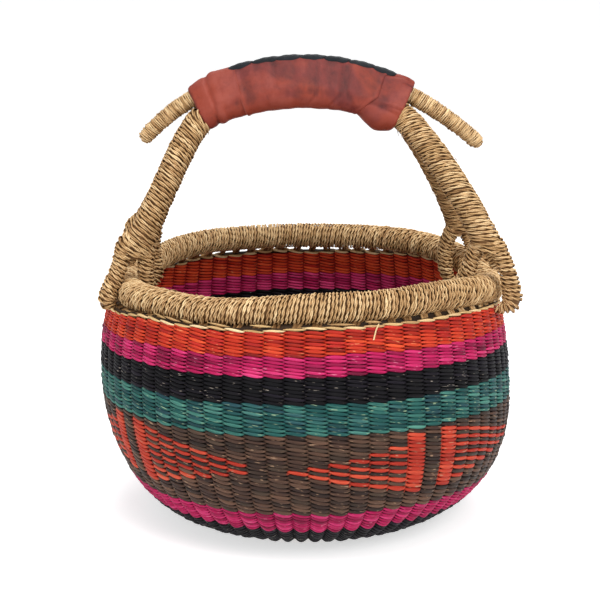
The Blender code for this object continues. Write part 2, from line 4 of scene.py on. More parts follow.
import bpy
import numpy as np
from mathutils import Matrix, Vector


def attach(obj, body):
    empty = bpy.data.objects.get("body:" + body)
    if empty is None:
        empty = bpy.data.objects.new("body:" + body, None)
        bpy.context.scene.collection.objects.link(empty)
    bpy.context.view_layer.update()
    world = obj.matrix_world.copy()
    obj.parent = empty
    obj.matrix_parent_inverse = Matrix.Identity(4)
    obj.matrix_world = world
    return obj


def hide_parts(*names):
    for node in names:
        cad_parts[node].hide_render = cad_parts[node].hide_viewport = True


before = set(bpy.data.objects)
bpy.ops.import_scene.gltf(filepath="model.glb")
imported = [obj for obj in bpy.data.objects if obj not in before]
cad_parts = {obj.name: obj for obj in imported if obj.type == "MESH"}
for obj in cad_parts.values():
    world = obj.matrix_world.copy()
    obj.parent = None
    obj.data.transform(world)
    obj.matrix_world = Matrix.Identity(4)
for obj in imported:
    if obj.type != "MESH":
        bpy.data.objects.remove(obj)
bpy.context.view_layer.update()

UP = np.array((0.0, 0.0, 1.0))
TURN = 2 * math.pi

# Sizes of the bowl, in metres, the same as the CAD's
STAKES = 68
STEP = TURN / STAKES
FIRST_STAKE = STEP / 2
BELLY_RADIUS = 0.1905
RIM_HEIGHT = 0.218
WEAVE_TOP = 0.1986
BELLY_HEIGHT = WEAVE_TOP * 0.579
BASE_RADIUS = BELLY_RADIUS * 0.42
BASE_WEAVE_RADIUS = BELLY_RADIUS * 0.5774
LOWER_POWER = 0.72
UPPER_POWER = 2.4
TOP_DRAW_IN = 0.009
BORDER_HEIGHT = 0.0045
RIM_RADIUS = 0.165
RIM_CORE = 0.0086
WRAP_RADIUS = 0.0125
GAP = 0.0003
HUB_RADIUS = 0.024

# Bands from the bottom up: name, share of the weave's height where it ends, and its rows
BANDS = (
    ("lower_black_weft", 0.1205, 12),
    ("lower_magenta_weft", 0.2140, 7),
    ("lower_brown_weft", 0.3870, 9),
    ("upper_brown_weft", 0.5760, 11),
    ("teal_weft", 0.7075, 8),
    ("black_weft", 0.8192, 7),
    ("magenta_weft", 0.9028, 6),
    ("orange_weft", 1.0, 7),
)
BROWN_ROWS = 20

# Sizes of the handle, the same as the CAD's
ARCH_RADIUS = RIM_RADIUS + 0.028
ARCH_HEIGHT = RIM_HEIGHT - 0.0136
ARCH_SHIFT = -0.0025
LEFT_GRIP = math.radians(29.5)
RIGHT_GRIP = math.radians(27.5)
LEFT_SEAM = math.radians(-17.5)
RIGHT_SEAM = math.radians(15.5)
BUNDLE_RADIUS = 0.0095
BUNDLE_DROP = 0.0085
BUNDLE_SPREAD = 0.0128
HORN_RADIUS = 0.0083
HORN_RISE = 0.0109
STRAND_RADIUS = 0.0080
SLOT_HALF = 0.0013
SLOT_HALF_WIDTH = 0.0050
FORK_LIFT = 0.049
FEET = {
    "right_front": (-4, 1, -1, 0.28, 0.80, 22),
    "right_rear": (3, 1, 1, -1.04, 0.08, 22),
    "left_front": (37, -1, -1, -0.84, 0.04, 27),
    "left_rear": (31, -1, 1, -0.60, 0.04, 27),
}
STRAND_TURN = (
    (4, 1.00, 1.00), (-16, 0.62, 0.70), (-34, 0.16, 0.25), (-60, 0.00, 0.00),
    (-88, 0.00, 0.00), (-115, 0.10, 0.20), (-145, 0.45, 0.60), (-180, 0.90, 1.00),
)


# Noise and meshes

def seeded(seed):
    return np.random.default_rng(seed)


def waves(x, seed, count=5, lowest=1, highest=9):
    """Smooth noise of about unit size that repeats after one turn of x."""
    rng = seeded(seed)
    x = np.asarray(x, float)
    total = np.zeros_like(x)
    for _ in range(count):
        total += np.sin(x * rng.integers(lowest, highest + 1) + rng.uniform(0, TURN))
    return total / math.sqrt(count / 2)


def wander(count, seed, spacing):
    """Smooth noise of about unit size along a strand of count rings."""
    rng = seeded(seed)
    knots = rng.normal(0, 1, int(count / spacing) + 4)
    place = np.arange(count) / spacing
    low = place.astype(int)
    share = place - low
    share = share * share * (3 - 2 * share)
    return knots[low] * (1 - share) + knots[low + 1] * share


def unit(v):
    return v / np.maximum(np.linalg.norm(v, axis=-1, keepdims=True), 1e-12)


class Strands:
    """Gathers tubes of straw into one mesh, with the attributes that the materials read and an
    OFBake UV map.
    """

    def __init__(self, sides=6):
        self.sides = sides
        self.points = []
        self.faces = []
        self.grain = []
        self.tone = []
        self.tint = []
        self.uv = []
        self.count = 0
        self.rows = 0

    def add(self, path, side, rise, half_side, half_rise, closed=False, turn=None, lobes=0.0,
            tone=0.0, tint=0.0, seed=0.0, chunk=96):
        n = len(path)
        around = np.arange(self.sides) * TURN / self.sides + TURN / 4
        phase = around[None] - (0 if turn is None else np.asarray(turn)[:, None])
        swell = 1 + lobes * np.cos(2 * phase)
        half_side = np.broadcast_to(half_side, (n,))
        half_rise = np.broadcast_to(half_rise, (n,))
        across = half_side[:, None] * np.cos(around) * swell
        over = half_rise[:, None] * np.sin(around) * swell
        points = (path[:, None] + side[:, None] * across[..., None]
                  + rise[:, None] * over[..., None])
        links = n if closed else n - 1
        i = np.arange(links)[:, None]
        j = np.arange(self.sides)[None]
        after = (i + 1) % n
        beside = (j + 1) % self.sides
        quads = np.stack([i * self.sides + j, i * self.sides + beside,
                          after * self.sides + beside, after * self.sides + j], -1)
        self.faces.append(quads.reshape(-1, 4) + self.count)
        steps = np.linalg.norm(np.diff(path, axis=0), axis=1)
        length = np.concatenate([[0], np.cumsum(steps)])
        turned = phase if turn is not None else np.broadcast_to(phase, (n, self.sides))
        grain = np.stack([np.broadcast_to(length[:, None], (n, self.sides)) + seed * 0.37,
                          np.cos(turned) * 0.0016 + seed * 0.11,
                          np.sin(turned) * 0.0016 + seed * 0.23], -1)
        self.grain.append(grain.reshape(-1, 3))
        tone = np.asarray(tone, float)
        tone = tone if tone.ndim == 2 else np.broadcast_to(tone, (n,))[:, None]
        tint = np.broadcast_to(np.asarray(tint, float), (n,))
        self.tone.append((tone + np.zeros((1, self.sides))).ravel())
        self.tint.append(np.repeat(tint, self.sides))
        row = self.rows + i // chunk
        start = (i % chunk) / chunk
        end = (i % chunk + 1) / chunk
        u = np.stack(np.broadcast_arrays(start, start, end, end), -1) * np.ones((1, self.sides, 1))
        v = np.stack([row + j / self.sides, row + (j + 1) / self.sides,
                      row + (j + 1) / self.sides, row + j / self.sides], -1)
        self.uv.append(np.stack([u, v], -1).reshape(-1, 2))
        self.rows += int((links - 1) // chunk) + 1
        self.points.append(points.reshape(-1, 3))
        self.count += n * self.sides

    def build(self, name, material, slot, replaces=()):
        uv = np.concatenate(self.uv)
        uv[:, 1] /= self.rows
        return make_piece(name, np.concatenate(self.points), np.concatenate(self.faces),
                          material, slot, replaces, uv=uv,
                          grain=np.concatenate(self.grain), tone=np.concatenate(self.tone),
                          tint=np.concatenate(self.tint))


def make_piece(name, points, quads, material, slot, replaces=(), uv=None, **attributes):
    mesh = bpy.data.meshes.new(name)
    points = points.copy()
    points[:, 2] = np.maximum(points[:, 2], 0.0)
    mesh.vertices.add(len(points))
    mesh.vertices.foreach_set("co", points.astype(np.float32).ravel())
    mesh.loops.add(quads.size)
    mesh.loops.foreach_set("vertex_index", quads.astype(np.int32).ravel())
    mesh.polygons.add(len(quads))
    mesh.polygons.foreach_set("loop_start", np.arange(0, quads.size, 4, dtype=np.int32))
    mesh.update(calc_edges=True)
    for key, values in attributes.items():
        kind = "FLOAT_VECTOR" if values.ndim == 2 else "FLOAT"
        layer = mesh.attributes.new(key, kind, "POINT")
        field = "vector" if values.ndim == 2 else "value"
        layer.data.foreach_set(field, values.astype(np.float32).ravel())
    if uv is not None:
        layer = mesh.uv_layers.new(name="OFBake")
        layer.data.foreach_set("uv", uv.astype(np.float32).ravel())
    mesh.shade_smooth()
    mesh.materials.append(material)
    piece = bpy.data.objects.new(name, mesh)
    bpy.context.scene.collection.objects.link(piece)
    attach(piece, "root")
    if replaces:
        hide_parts(*replaces)
    return piece


# Materials

class Nodes:
    """Short calls for making shader nodes."""

    def __init__(self, name):
        self.material = bpy.data.materials.new(name)
        self.material.use_nodes = True
        self.tree = self.material.node_tree
        self.shader = self.tree.nodes["Principled BSDF"]

    def link(self, value, socket):
        if isinstance(value, bpy.types.NodeSocket):
            self.tree.links.new(value, socket)
        elif isinstance(value, (tuple, list)) and len(value) == 3 and socket.type == "RGBA":
            socket.default_value = (*value, 1)
        else:
            socket.default_value = value

    def node(self, kind, **inputs):
        made = self.tree.nodes.new(kind)
        for key, value in inputs.items():
            if hasattr(made, key):
                setattr(made, key, value)
        return made

    def attribute(self, name, output="Fac"):
        made = self.node("ShaderNodeAttribute")
        made.attribute_name = name
        return made.outputs[output]

    def math(self, operation, a, b=0.5, c=None, clamp=False):
        made = self.node("ShaderNodeMath")
        made.operation = operation
        made.use_clamp = clamp
        self.link(a, made.inputs[0])
        self.link(b, made.inputs[1])
        if c is not None:
            self.link(c, made.inputs[2])
        return made.outputs[0]

    def scaled(self, vector, scale, offset=(0, 0, 0)):
        made = self.node("ShaderNodeMapping")
        self.link(vector, made.inputs["Vector"])
        made.inputs["Scale"].default_value = scale
        made.inputs["Location"].default_value = offset
        return made.outputs[0]

    def noise(self, vector, scale=1.0, detail=2.0, rough=0.5, distortion=0.0):
        made = self.node("ShaderNodeTexNoise")
        self.link(vector, made.inputs["Vector"])
        made.inputs["Scale"].default_value = scale
        made.inputs["Detail"].default_value = detail
        made.inputs["Roughness"].default_value = rough
        made.inputs["Distortion"].default_value = distortion
        return made.outputs["Fac"]

    def ramp(self, value, stops, smooth=True):
        made = self.node("ShaderNodeValToRGB")
        ramp = made.color_ramp
        ramp.interpolation = "B_SPLINE" if smooth is None else "EASE" if smooth else "LINEAR"
        while len(ramp.elements) < len(stops):
            ramp.elements.new(0.5)
        for element, (place, colour) in zip(ramp.elements, stops):
            element.position = place
            shade = colour if isinstance(colour, tuple) else (colour,) * 3
            element.color = (*shade, 1)
        self.link(value, made.inputs[0])
        return made.outputs[0]

    def mix(self, share, first, second, blend="MIX"):
        made = self.node("ShaderNodeMix")
        made.data_type = "RGBA"
        made.blend_type = blend
        self.link(share, made.inputs[0])
        self.link(first, made.inputs[6])
        self.link(second, made.inputs[7])
        return made.outputs[2]

    def bump(self, height, strength=0.5, distance=0.0004):
        made = self.node("ShaderNodeBump")
        made.inputs["Strength"].default_value = strength
        made.inputs["Distance"].default_value = distance
        self.link(height, made.inputs["Height"])
        self.link(made.outputs[0], self.shader.inputs["Normal"])

    def set(self, name, value):
        self.link(value, self.shader.inputs[name])


def srgb(red, green, blue):
    """A colour as seen on screen, 0 to 255, turned into the linear one that nodes use."""
    def one(value):
        value /= 255
        return value / 12.92 if value <= 0.04045 else ((value + 0.055) / 1.055) ** 2.4
    return one(red), one(green), one(blue)


def straw_material(name, deep, plain, light, fleck, other, tinted=None, fibre=0.35,
                   fleck_share=0.05, roughness=0.62):
    """Grass fibre: fine lines along each strand, changes of tone and hue, and pale flecks."""
    m = Nodes(name)
    grain = m.attribute("grain", "Vector")
    tone = m.attribute("tone")
    lines = m.noise(m.scaled(grain, (28, 2600, 2600)), 1, 3, 0.6)
    streaks = m.noise(m.scaled(grain, (9, 700, 700), (3, 1, 7)), 1, 2, 0.5)
    patches = m.noise(m.scaled(grain, (26, 60, 60), (9, 4, 2)), 1, 2, 0.5)
    value = m.math("MULTIPLY_ADD", lines, fibre, m.math("MULTIPLY", streaks, 0.45))
    value = m.math("ADD", value, m.math("MULTIPLY_ADD", patches, 0.30, -0.15 + 0.30 - fibre / 2))
    # The tone attribute brings random changes of tone and also the painted light and shade set on
    # strands and vertices.
    value = m.math("MULTIPLY_ADD", tone, 0.15, value, clamp=True)
    hue = m.noise(m.scaled(grain, (14, 40, 40), (2, 8, 5)), 1, 2, 0.5)
    colour = m.ramp(value, ((0.22, deep), (0.52, plain), (0.86, light)), smooth=False)
    turned = m.ramp(value, ((0.10, deep), (0.60, other), (1.0, light)), smooth=False)
    colour = m.mix(m.ramp(hue, ((0.50, 0.0), (0.66, 0.8)), smooth=False), colour, turned)
    if tinted:
        colour = m.mix(m.attribute("tint"), colour,
                       m.ramp(value, ((0.15, tinted[0]), (0.5, tinted[1]), (0.9, tinted[2])),
                              smooth=False))
    spots = m.noise(m.scaled(grain, (150, 900, 900), (5, 5, 1)), 1, 1, 0.5)
    share = m.ramp(spots, ((0.72 - fleck_share, 0.0), (0.74, 0.75)), smooth=False)
    colour = m.mix(share, colour, fleck)
    m.set("Base Color", colour)
    m.set("Roughness", m.math("MULTIPLY_ADD", lines, 0.22, roughness - 0.11))
    m.shader.inputs["Specular IOR Level"].default_value = 0.25
    height = m.math("ADD", lines, m.math("MULTIPLY", streaks, 0.8))
    m.bump(height, 0.55, 0.00035)
    return m.material


def leather_material(name, deep, plain, light, warm, rough=0.46, specular=0.4):
    """Hand-cut goatskin: pores, blotches and fine creases; wear lightens where the hide stands out
    and painted shade darkens its folds.
    """
    m = Nodes(name)
    place = m.node("ShaderNodeTexCoord").outputs["Object"]
    cells = m.node("ShaderNodeTexVoronoi")
    cells.feature = "DISTANCE_TO_EDGE"
    m.link(place, cells.inputs["Vector"])
    cells.inputs["Scale"].default_value = 900
    pores = m.ramp(cells.outputs["Distance"], ((0.0, 0.0), (0.10, 1.0)))
    broad = m.noise(place, 34, 4, 0.62, 0.8)
    fine = m.noise(place, 260, 3, 0.6)
    scuffs = m.noise(m.scaled(place, (220, 160, 45)), 1, 3, 0.6, 0.4)
    wear = m.attribute("wear")
    value = m.math("MULTIPLY_ADD", broad, 0.70, m.math("MULTIPLY_ADD", fine, 0.20, -0.10))
    value = m.math("MULTIPLY_ADD", scuffs, 0.22, value)
    value = m.math("ADD", value, m.math("MULTIPLY", wear, 0.35), clamp=True)
    colour = m.ramp(value, ((0.25, deep), (0.52, plain), (0.85, light)), smooth=False)
    warmer = m.ramp(value, ((0.20, deep), (0.50, warm), (0.90, light)), smooth=False)
    hue = m.noise(place, 16, 3, 0.6, 0.5)
    colour = m.mix(m.ramp(hue, ((0.46, 0.0), (0.60, 0.8)), smooth=False), colour, warmer)
    m.set("Base Color", colour)
    m.set("Roughness", m.math("MULTIPLY_ADD", fine, 0.2, rough - 0.06))
    m.shader.inputs["Specular IOR Level"].default_value = specular
    height = m.math("ADD", m.math("MULTIPLY", pores, 0.35), m.math("MULTIPLY", fine, 0.8))
    height = m.math("MULTIPLY_ADD", scuffs, 0.9, height)
    m.bump(height, 0.5, 0.0004)
    return m.material


def make_materials():
    made = {}
    made["straw"] = straw_material(
        "straw", srgb(112, 78, 44), srgb(196, 154, 102), srgb(252, 222, 172), srgb(120, 84, 52),
        srgb(186, 142, 96), fleck_share=0.03)
    made["dark"] = straw_material(
        "shaded_straw", srgb(22, 15, 9), srgb(48, 34, 22), srgb(92, 68, 44), srgb(120, 90, 60),
        srgb(56, 40, 28), fleck_share=0.02)
    made["pale"] = straw_material(
        "pale_straw", srgb(150, 114, 68), srgb(220, 184, 128), srgb(248, 222, 174),
        srgb(140, 100, 62), srgb(200, 158, 112), fleck_share=0.03)
    made["orange"] = straw_material(
        "orange_straw", srgb(104, 10, 6), srgb(186, 42, 18), srgb(232, 86, 46),
        srgb(236, 150, 100), srgb(190, 36, 32), fleck_share=0.03)
    made["magenta"] = straw_material(
        "magenta_straw", srgb(100, 0, 42), srgb(186, 12, 84), srgb(228, 66, 128),
        srgb(226, 130, 160), srgb(160, 18, 76), fleck_share=0.03)
    made["black"] = straw_material(
        "black_straw", srgb(1, 1, 3), srgb(7, 5, 10), srgb(32, 27, 37),
        srgb(170, 158, 146), srgb(20, 18, 20), fleck_share=0.01)
    made["teal"] = straw_material(
        "teal_straw", srgb(2, 32, 38), srgb(20, 80, 76), srgb(84, 144, 128),
        srgb(166, 190, 150), srgb(36, 72, 84), fleck_share=0.06)
    made["brown"] = straw_material(
        "brown_straw", srgb(20, 11, 8), srgb(51, 32, 25), srgb(108, 78, 61),
        srgb(180, 144, 114), srgb(70, 56, 44),
        tinted=(srgb(124, 20, 12), srgb(186, 52, 32), srgb(226, 94, 64)))
    made["leather"] = leather_material(
        "brown_leather", srgb(80, 30, 28), srgb(122, 49, 44), srgb(158, 76, 62),
        srgb(150, 60, 38), 0.5, 0.3)
    made["lace"] = leather_material(
        "black_leather", srgb(14, 17, 21), srgb(28, 33, 38), srgb(62, 70, 74),
        srgb(34, 34, 36), 0.62, 0.22)
    shader = made["black"].node_tree.nodes["Principled BSDF"]
    shader.inputs["Specular IOR Level"].default_value = 0.15
    return made


# The bowl

def saddle_fade(height):
    return 1 - (1 - np.minimum(height, RIM_HEIGHT) / RIM_HEIGHT) ** 4


# Hand-made shape round the basket: degrees, what all rows stand higher than the CAD's, what the
# top rows add to that, how much higher the rim is, all in millimetres, and the rim's radius
ROUND = np.array((
    (0, 9.0, -2.0, 0.0, 14.2), (15, 9.5, 1.0, 3.0, 13.6), (27, 9.2, 4.2, 7.0, 13.1),
    (41, 7.5, 7.5, 5.5, 12.8), (47, 6.5, 8.3, 4.5, 12.8), (53, 4.5, 8.5, 3.2, 12.8),
    (59, 3.0, 7.7, 2.0, 12.8), (65, 0.0, 7.7, 0.8, 12.8), (75, -3.0, 8.0, -0.7, 12.9),
    (90, -4.0, 7.1, -1.0, 12.9), (105, -4.0, 7.7, -0.9, 12.9), (116, -3.5, 10.3, 0.0, 12.8),
    (122, -2.5, 9.8, 1.6, 12.7), (128, -1.0, 8.3, 3.0, 12.6), (134, 0.5, 6.9, 3.8, 12.6),
    (141, 3.0, 7.5, 5.2, 12.6), (150, 5.5, 5.0, 5.0, 12.7), (165, 9.0, 1.0, 1.8, 13.2),
    (180, 11.0, -6.0, 0.5, 13.9), (195, 12.5, -6.4, 1.3, 14.0), (207, 11.2, -5.2, 0.9, 13.8),
    (214, 7.5, -0.2, 0.4, 13.2), (222, 5.8, 1.8, -0.1, 12.8), (231, 3.4, 0.9, -2.2, 12.4),
    (238, 2.4, 0.0, -3.8, 12.3), (247, 0.2, 0.4, -4.6, 12.2), (256, -0.5, 0.8, -3.0, 12.2),
    (263, -0.4, 0.9, -2.2, 12.6), (270, -0.3, 0.8, -1.3, 13.3), (277, -0.7, 1.9, -0.6, 13.4),
    (284, 0.0, 2.4, 0.1, 13.4), (292, 1.9, 3.1, 1.4, 13.4), (299, 2.4, 3.2, 3.8, 13.4),
    (306, 3.8, 4.2, 6.4, 13.4), (314, 5.8, 3.6, 7.6, 13.4), (322, 6.8, 3.6, 8.2, 13.4),
    (330, 7.5, 3.6, 8.2, 13.5), (338, 8.1, 2.8, 6.9, 13.7), (347, 8.5, 0.6, 4.4, 13.9),
    (360, 9.0, -2.0, 0.0, 14.2)))


def round_table(angle, column):
    """One column of the table at each angle, smoothed over a few degrees."""
    degrees = np.degrees(np.asarray(angle, float))
    total = 0.0
    for shift, weight in ((-5, 0.25), (0, 0.5), (5, 0.25)):
        total = total + weight * np.interp(np.mod(degrees + shift, 360), ROUND[:, 0],
                                           ROUND[:, column])
    return total / 1000


def wall_lift(height, angle):
    """How much higher the wall stands than its profile."""
    top = np.clip(height, 0, WEAVE_TOP + 0.01) / WEAVE_TOP
    return (saddle_fade(height) * (-0.0080 * np.cos(2 * angle) - 0.0033 * np.sin(angle)
                                   + round_table(angle, 1))
            + top ** 6 * round_table(angle, 2))


def cad_rim_height(angle):
    fullness = 0.0035 * (1 + np.sin(angle)) / 2 * np.sin(2 * angle) ** 2
    return RIM_HEIGHT - 0.0088 * np.cos(2 * angle) + fullness


def rim_height(angle):
    return cad_rim_height(angle) + round_table(angle, 3)


def sway(height):
    """How far the hand-made wall leans to the side at each height."""
    return np.interp(height, (0, 0.03, 0.055, 0.09, 0.13, 0.165, 0.21, 0.225),
                     (0, 0.0018, 0.0026, 0.0010, -0.0015, -0.0028, -0.0028, 0))


def profile(turn):
    turn = np.asarray(turn, float)
    quarter = np.clip(turn, 0, 1) * math.pi / 2
    rise = np.maximum(turn - 1, 0)
    radius = BASE_RADIUS + (BELLY_RADIUS - BASE_RADIUS) * np.sin(quarter) ** LOWER_POWER
    height = BELLY_HEIGHT * (1 - np.cos(quarter))
    radius = np.where(turn > 1, BELLY_RADIUS - TOP_DRAW_IN * rise ** UPPER_POWER, radius)
    height = np.where(turn > 1, BELLY_HEIGHT + (WEAVE_TOP - BELLY_HEIGHT) * rise, height)
    return radius, height


def turn_at_height(height):
    if height <= BELLY_HEIGHT:
        return math.acos(1 - height / BELLY_HEIGHT) / (math.pi / 2)
    return 1 + (height - BELLY_HEIGHT) / (WEAVE_TOP - BELLY_HEIGHT)


def base_turn(radius):
    spread = (radius - BASE_RADIUS) / (BELLY_RADIUS - BASE_RADIUS)
    return math.asin(spread ** (1 / LOWER_POWER)) / (math.pi / 2)


def even_rows(low, high, count):
    """Turns of the row centres, evenly spaced along the curve, and the rows' pitch."""
    turns = np.linspace(low, high, 400)
    radius, height = profile(turns)
    length = np.concatenate([[0], np.cumsum(np.hypot(np.diff(radius), np.diff(height)))])
    pitch = length[-1] / count
    return np.interp((np.arange(count) + 0.5) * pitch, length, turns), pitch


def profile_frame(turn):
    """Crest point of a row with its outward and upward directions, as radius and height."""
    step = 1e-3
    r0, z0 = profile(max(turn - step, step * 0.1))
    r1, z1 = profile(turn + step)
    along = np.array((r1 - r0, z1 - z0), float)
    along /= np.linalg.norm(along)
    radius, height = profile(turn)
    return float(radius), float(height), np.array((along[1], -along[0])), along


POINTS_PER_STAKE = 8
HALF_THICK = 0.00110
WEAVE_DEPTH = 0.0028


# How far out a strand stands, from -1 to 1, against the cosine of its turn round the other
# one: it stays in front past the crossing, so that the ends of neighbours lock together
SWING = ((-1, -0.92, -0.71, -0.38, 0, 0.38, 0.71, 0.92, 1),
         (-1, -0.98, -0.92, -0.66, 0.34, 0.78, 0.91, 0.97, 1))


def row_drift(angle, row):
    """Slow rise and fall along a row. Rows next to each other share it, so they stay packed."""
    rng = seeded(77)
    total = np.zeros_like(angle)
    for _ in range(8):
        total += np.sin(angle * rng.integers(2, 16) + row * rng.uniform(-0.45, 0.45)
                        + rng.uniform(0, TURN))
    return total / 2


def twined_row(strands, radius, height, outward, along, pitch, row, ribs=STAKES, depth=WEAVE_DEPTH,
               thick=HALF_THICK, tint=None, loose=1.0, slope=0.30, tone=0.0,
               plump=(0.64, 0.86, 1.08, 1.20), curve=0.0):
    """Two wefts that cross between stakes. From outside each segment runs down to the right.

    The plump numbers are its height over the pitch, from the crossing to its middle.
    """
    count = ribs * POINTS_PER_STAKE
    t = np.arange(count) / POINTS_PER_STAKE
    angle = FIRST_STAKE + t * TURN / ribs
    rng = seeded(1000 + row)
    drift = 0.00042 * loose * row_drift(angle, row)
    tones = np.stack([0.5 * wander(ribs, 5000 + 2 * row + k, 4) for k in (0, 1)])
    tones = tones + rng.normal(0, 0.32, (2, ribs))
    edge = np.abs(np.sin(np.arange(strands.sides) * TURN / strands.sides + TURN / 4)) ** 4
    bulge = rng.normal(0, 0.00022, (2, ribs)) * loose
    shift = rng.normal(0, 0.00009, (2, ribs)) * loose
    size = np.clip(rng.normal(1.0, 0.05, (2, ribs)), 0.96, 1.2)
    for strand in (0, 1):
        sign = 1 if strand == 0 else -1
        swing = np.interp(np.cos(math.pi * t) * sign, SWING[0], SWING[1])
        swing = swing + (np.cos(math.pi * t) * sign - swing) * curve
        cell = np.floor(t + 0.5).astype(int) % ribs
        stretch = 1 + (wall_lift(height + 0.001, angle) - wall_lift(height, angle)) * 1000
        fall = -np.sin(math.pi * t) * sign * pitch * slope
        middle = np.cos(math.pi * t) ** 2
        from_crossing = np.abs(np.cos(math.pi * t))
        half_high = pitch / 2 * np.interp(from_crossing, (0, 0.38, 0.71, 1), plump)
        half_high = half_high * size[strand][cell] * stretch * np.interp(
            swing, (-0.8, -0.3), (0.86, 1))
        out = -thick - depth * (1 - swing) + bulge[strand][cell] * middle
        rise = fall + drift + shift[strand][cell] * middle
        r = radius + outward[0] * out + along[0] * rise
        z = height + outward[1] * out + along[1] * rise
        z = z + wall_lift(z, angle)
        path = np.stack([r * np.cos(angle) + sway(z), r * np.sin(angle), z], -1)
        ring = np.stack([np.cos(angle), np.sin(angle), np.zeros(count)], -1)
        tangent = unit(np.roll(path, -1, 0) - np.roll(path, 1, 0))
        upward = ring * along[0] + UP * along[1]
        upward = unit(upward - tangent * np.sum(upward * tangent, -1, keepdims=True))
        side = np.cross(upward, tangent)
        shade = tone + tones[strand][cell] + 0.5 * rng.normal() + 0.35 * waves(angle, 90 + row)
        # Painted light and shade by how far the strand has swung: lighter on the wall's inner face
        # as painted light, painted shade where the back strand shows between front strands, and a
        # painted highlight on the front near the crossings.
        shade = shade + np.interp(swing, (-0.9, -0.7, -0.2, 0.3, 0.7, 0.95),
                                  (2.0, 1.9, -1.2, 0.3, 1.2, 0.1))
        # Painted shade along each strand's top and bottom edges, darkest near the crossings and on
        # the back strand, where the dark gaps between rows fall.
        groove_shade = np.interp(from_crossing, (0, 0.38, 0.71, 1), (-2.4, -4.0, -1.8, -0.7))
        groove_shade = np.minimum(groove_shade, np.interp(swing, (-0.8, -0.3), (-3.6, 0)))
        shade = shade[:, None] + groove_shade[:, None] * edge
        colour = 0.0
        if tint is not None:
            colour = tint[cell] * (swing > -0.35)
        half_thick = thick * (1 + 0.10 * wander(count, 7000 + 2 * row + strand, 5))
        strands.add(path, side, upward, half_thick, half_high, closed=True, tone=shade,
                    tint=colour, seed=row * 2.17 + strand, chunk=POINTS_PER_STAKE * 17)
    # A thin sheet behind each row, toned dark: painted shade that closes the gaps between the
    # strands.
    few = angle[::4]
    out = -thick - depth * 1.40
    r = radius + outward[0] * out + along[0] * drift[::4]
    z = height + outward[1] * out + along[1] * drift[::4]
    z = z + wall_lift(z, few)
    path = np.stack([r * np.cos(few) + sway(z), r * np.sin(few), z], -1)
    ring = np.stack([np.cos(few), np.sin(few), 0 * few], -1)
    strands.add(path, ring * outward[0] + UP * outward[1], ring * along[0] + UP * along[1],
                0.0003, pitch * 0.56 * stretch[::4], closed=True, tone=-1.6, seed=row,
                chunk=ribs // 2)


def motif():
    """Traditional pattern of triangles and bars: which stakes turn red in which brown row."""
    cells = np.zeros((BROWN_ROWS, STAKES))
    middle = 9
    group = ([("dash", n) for n in range(1, 7)] + [("bar", 0), ("gap", 0), ("bar", 0)]
             + [("tall dash", n) for n in range(7, 1, -1)] + [("gap", 0), ("gap", 0)])
    first = STAKES - 18
    for repeat in range(4):
        for column, (kind, number) in enumerate(group):
            stake = (first + repeat * 17 + column) % STAKES
            if kind == "bar":
                cells[1:16, stake] = 1
            else:
                top = middle - (number if kind == "tall dash" else number - 1)
                cells[top:top + 2 * number - 1:2, stake] = kind != "gap"
    return cells


def build_bands(mats):
    colours = {"lower_black_weft": ("black", "black_straw"),
               "lower_magenta_weft": ("magenta", "magenta_straw"),
               "lower_brown_weft": ("brown", "brown_straw"),
               "upper_brown_weft": ("brown", "brown_straw"),
               "teal_weft": ("teal", "teal_straw"), "black_weft": ("black", "black_straw"),
               "magenta_weft": ("magenta", "magenta_straw"),
               "orange_weft": ("orange", "orange_straw")}
    cells = motif()
    low = base_turn(BASE_WEAVE_RADIUS)
    row = 0
    brown = BROWN_ROWS - 1
    for name, share, count in BANDS:
        high = turn_at_height(WEAVE_TOP * share)
        turns, pitch = even_rows(low, high, count)
        strands = Strands(6)
        for turn in turns:
            tint = None
            if "brown" in name:
                tint = cells[brown]
                brown -= 1
            radius, height, outward, along = profile_frame(turn)
            low_down = float(np.clip((0.050 - height) / 0.025, 0, 1))
            twined_row(strands, radius, height, outward, along, pitch, row, tint=tint,
                       depth=WEAVE_DEPTH + 0.0014 * low_down, curve=0.7 * low_down)
            row += 1
        material, slot = colours[name]
        strands.build("visual_" + name, mats[material], slot, (name,))
        low = high
    build_border(mats)


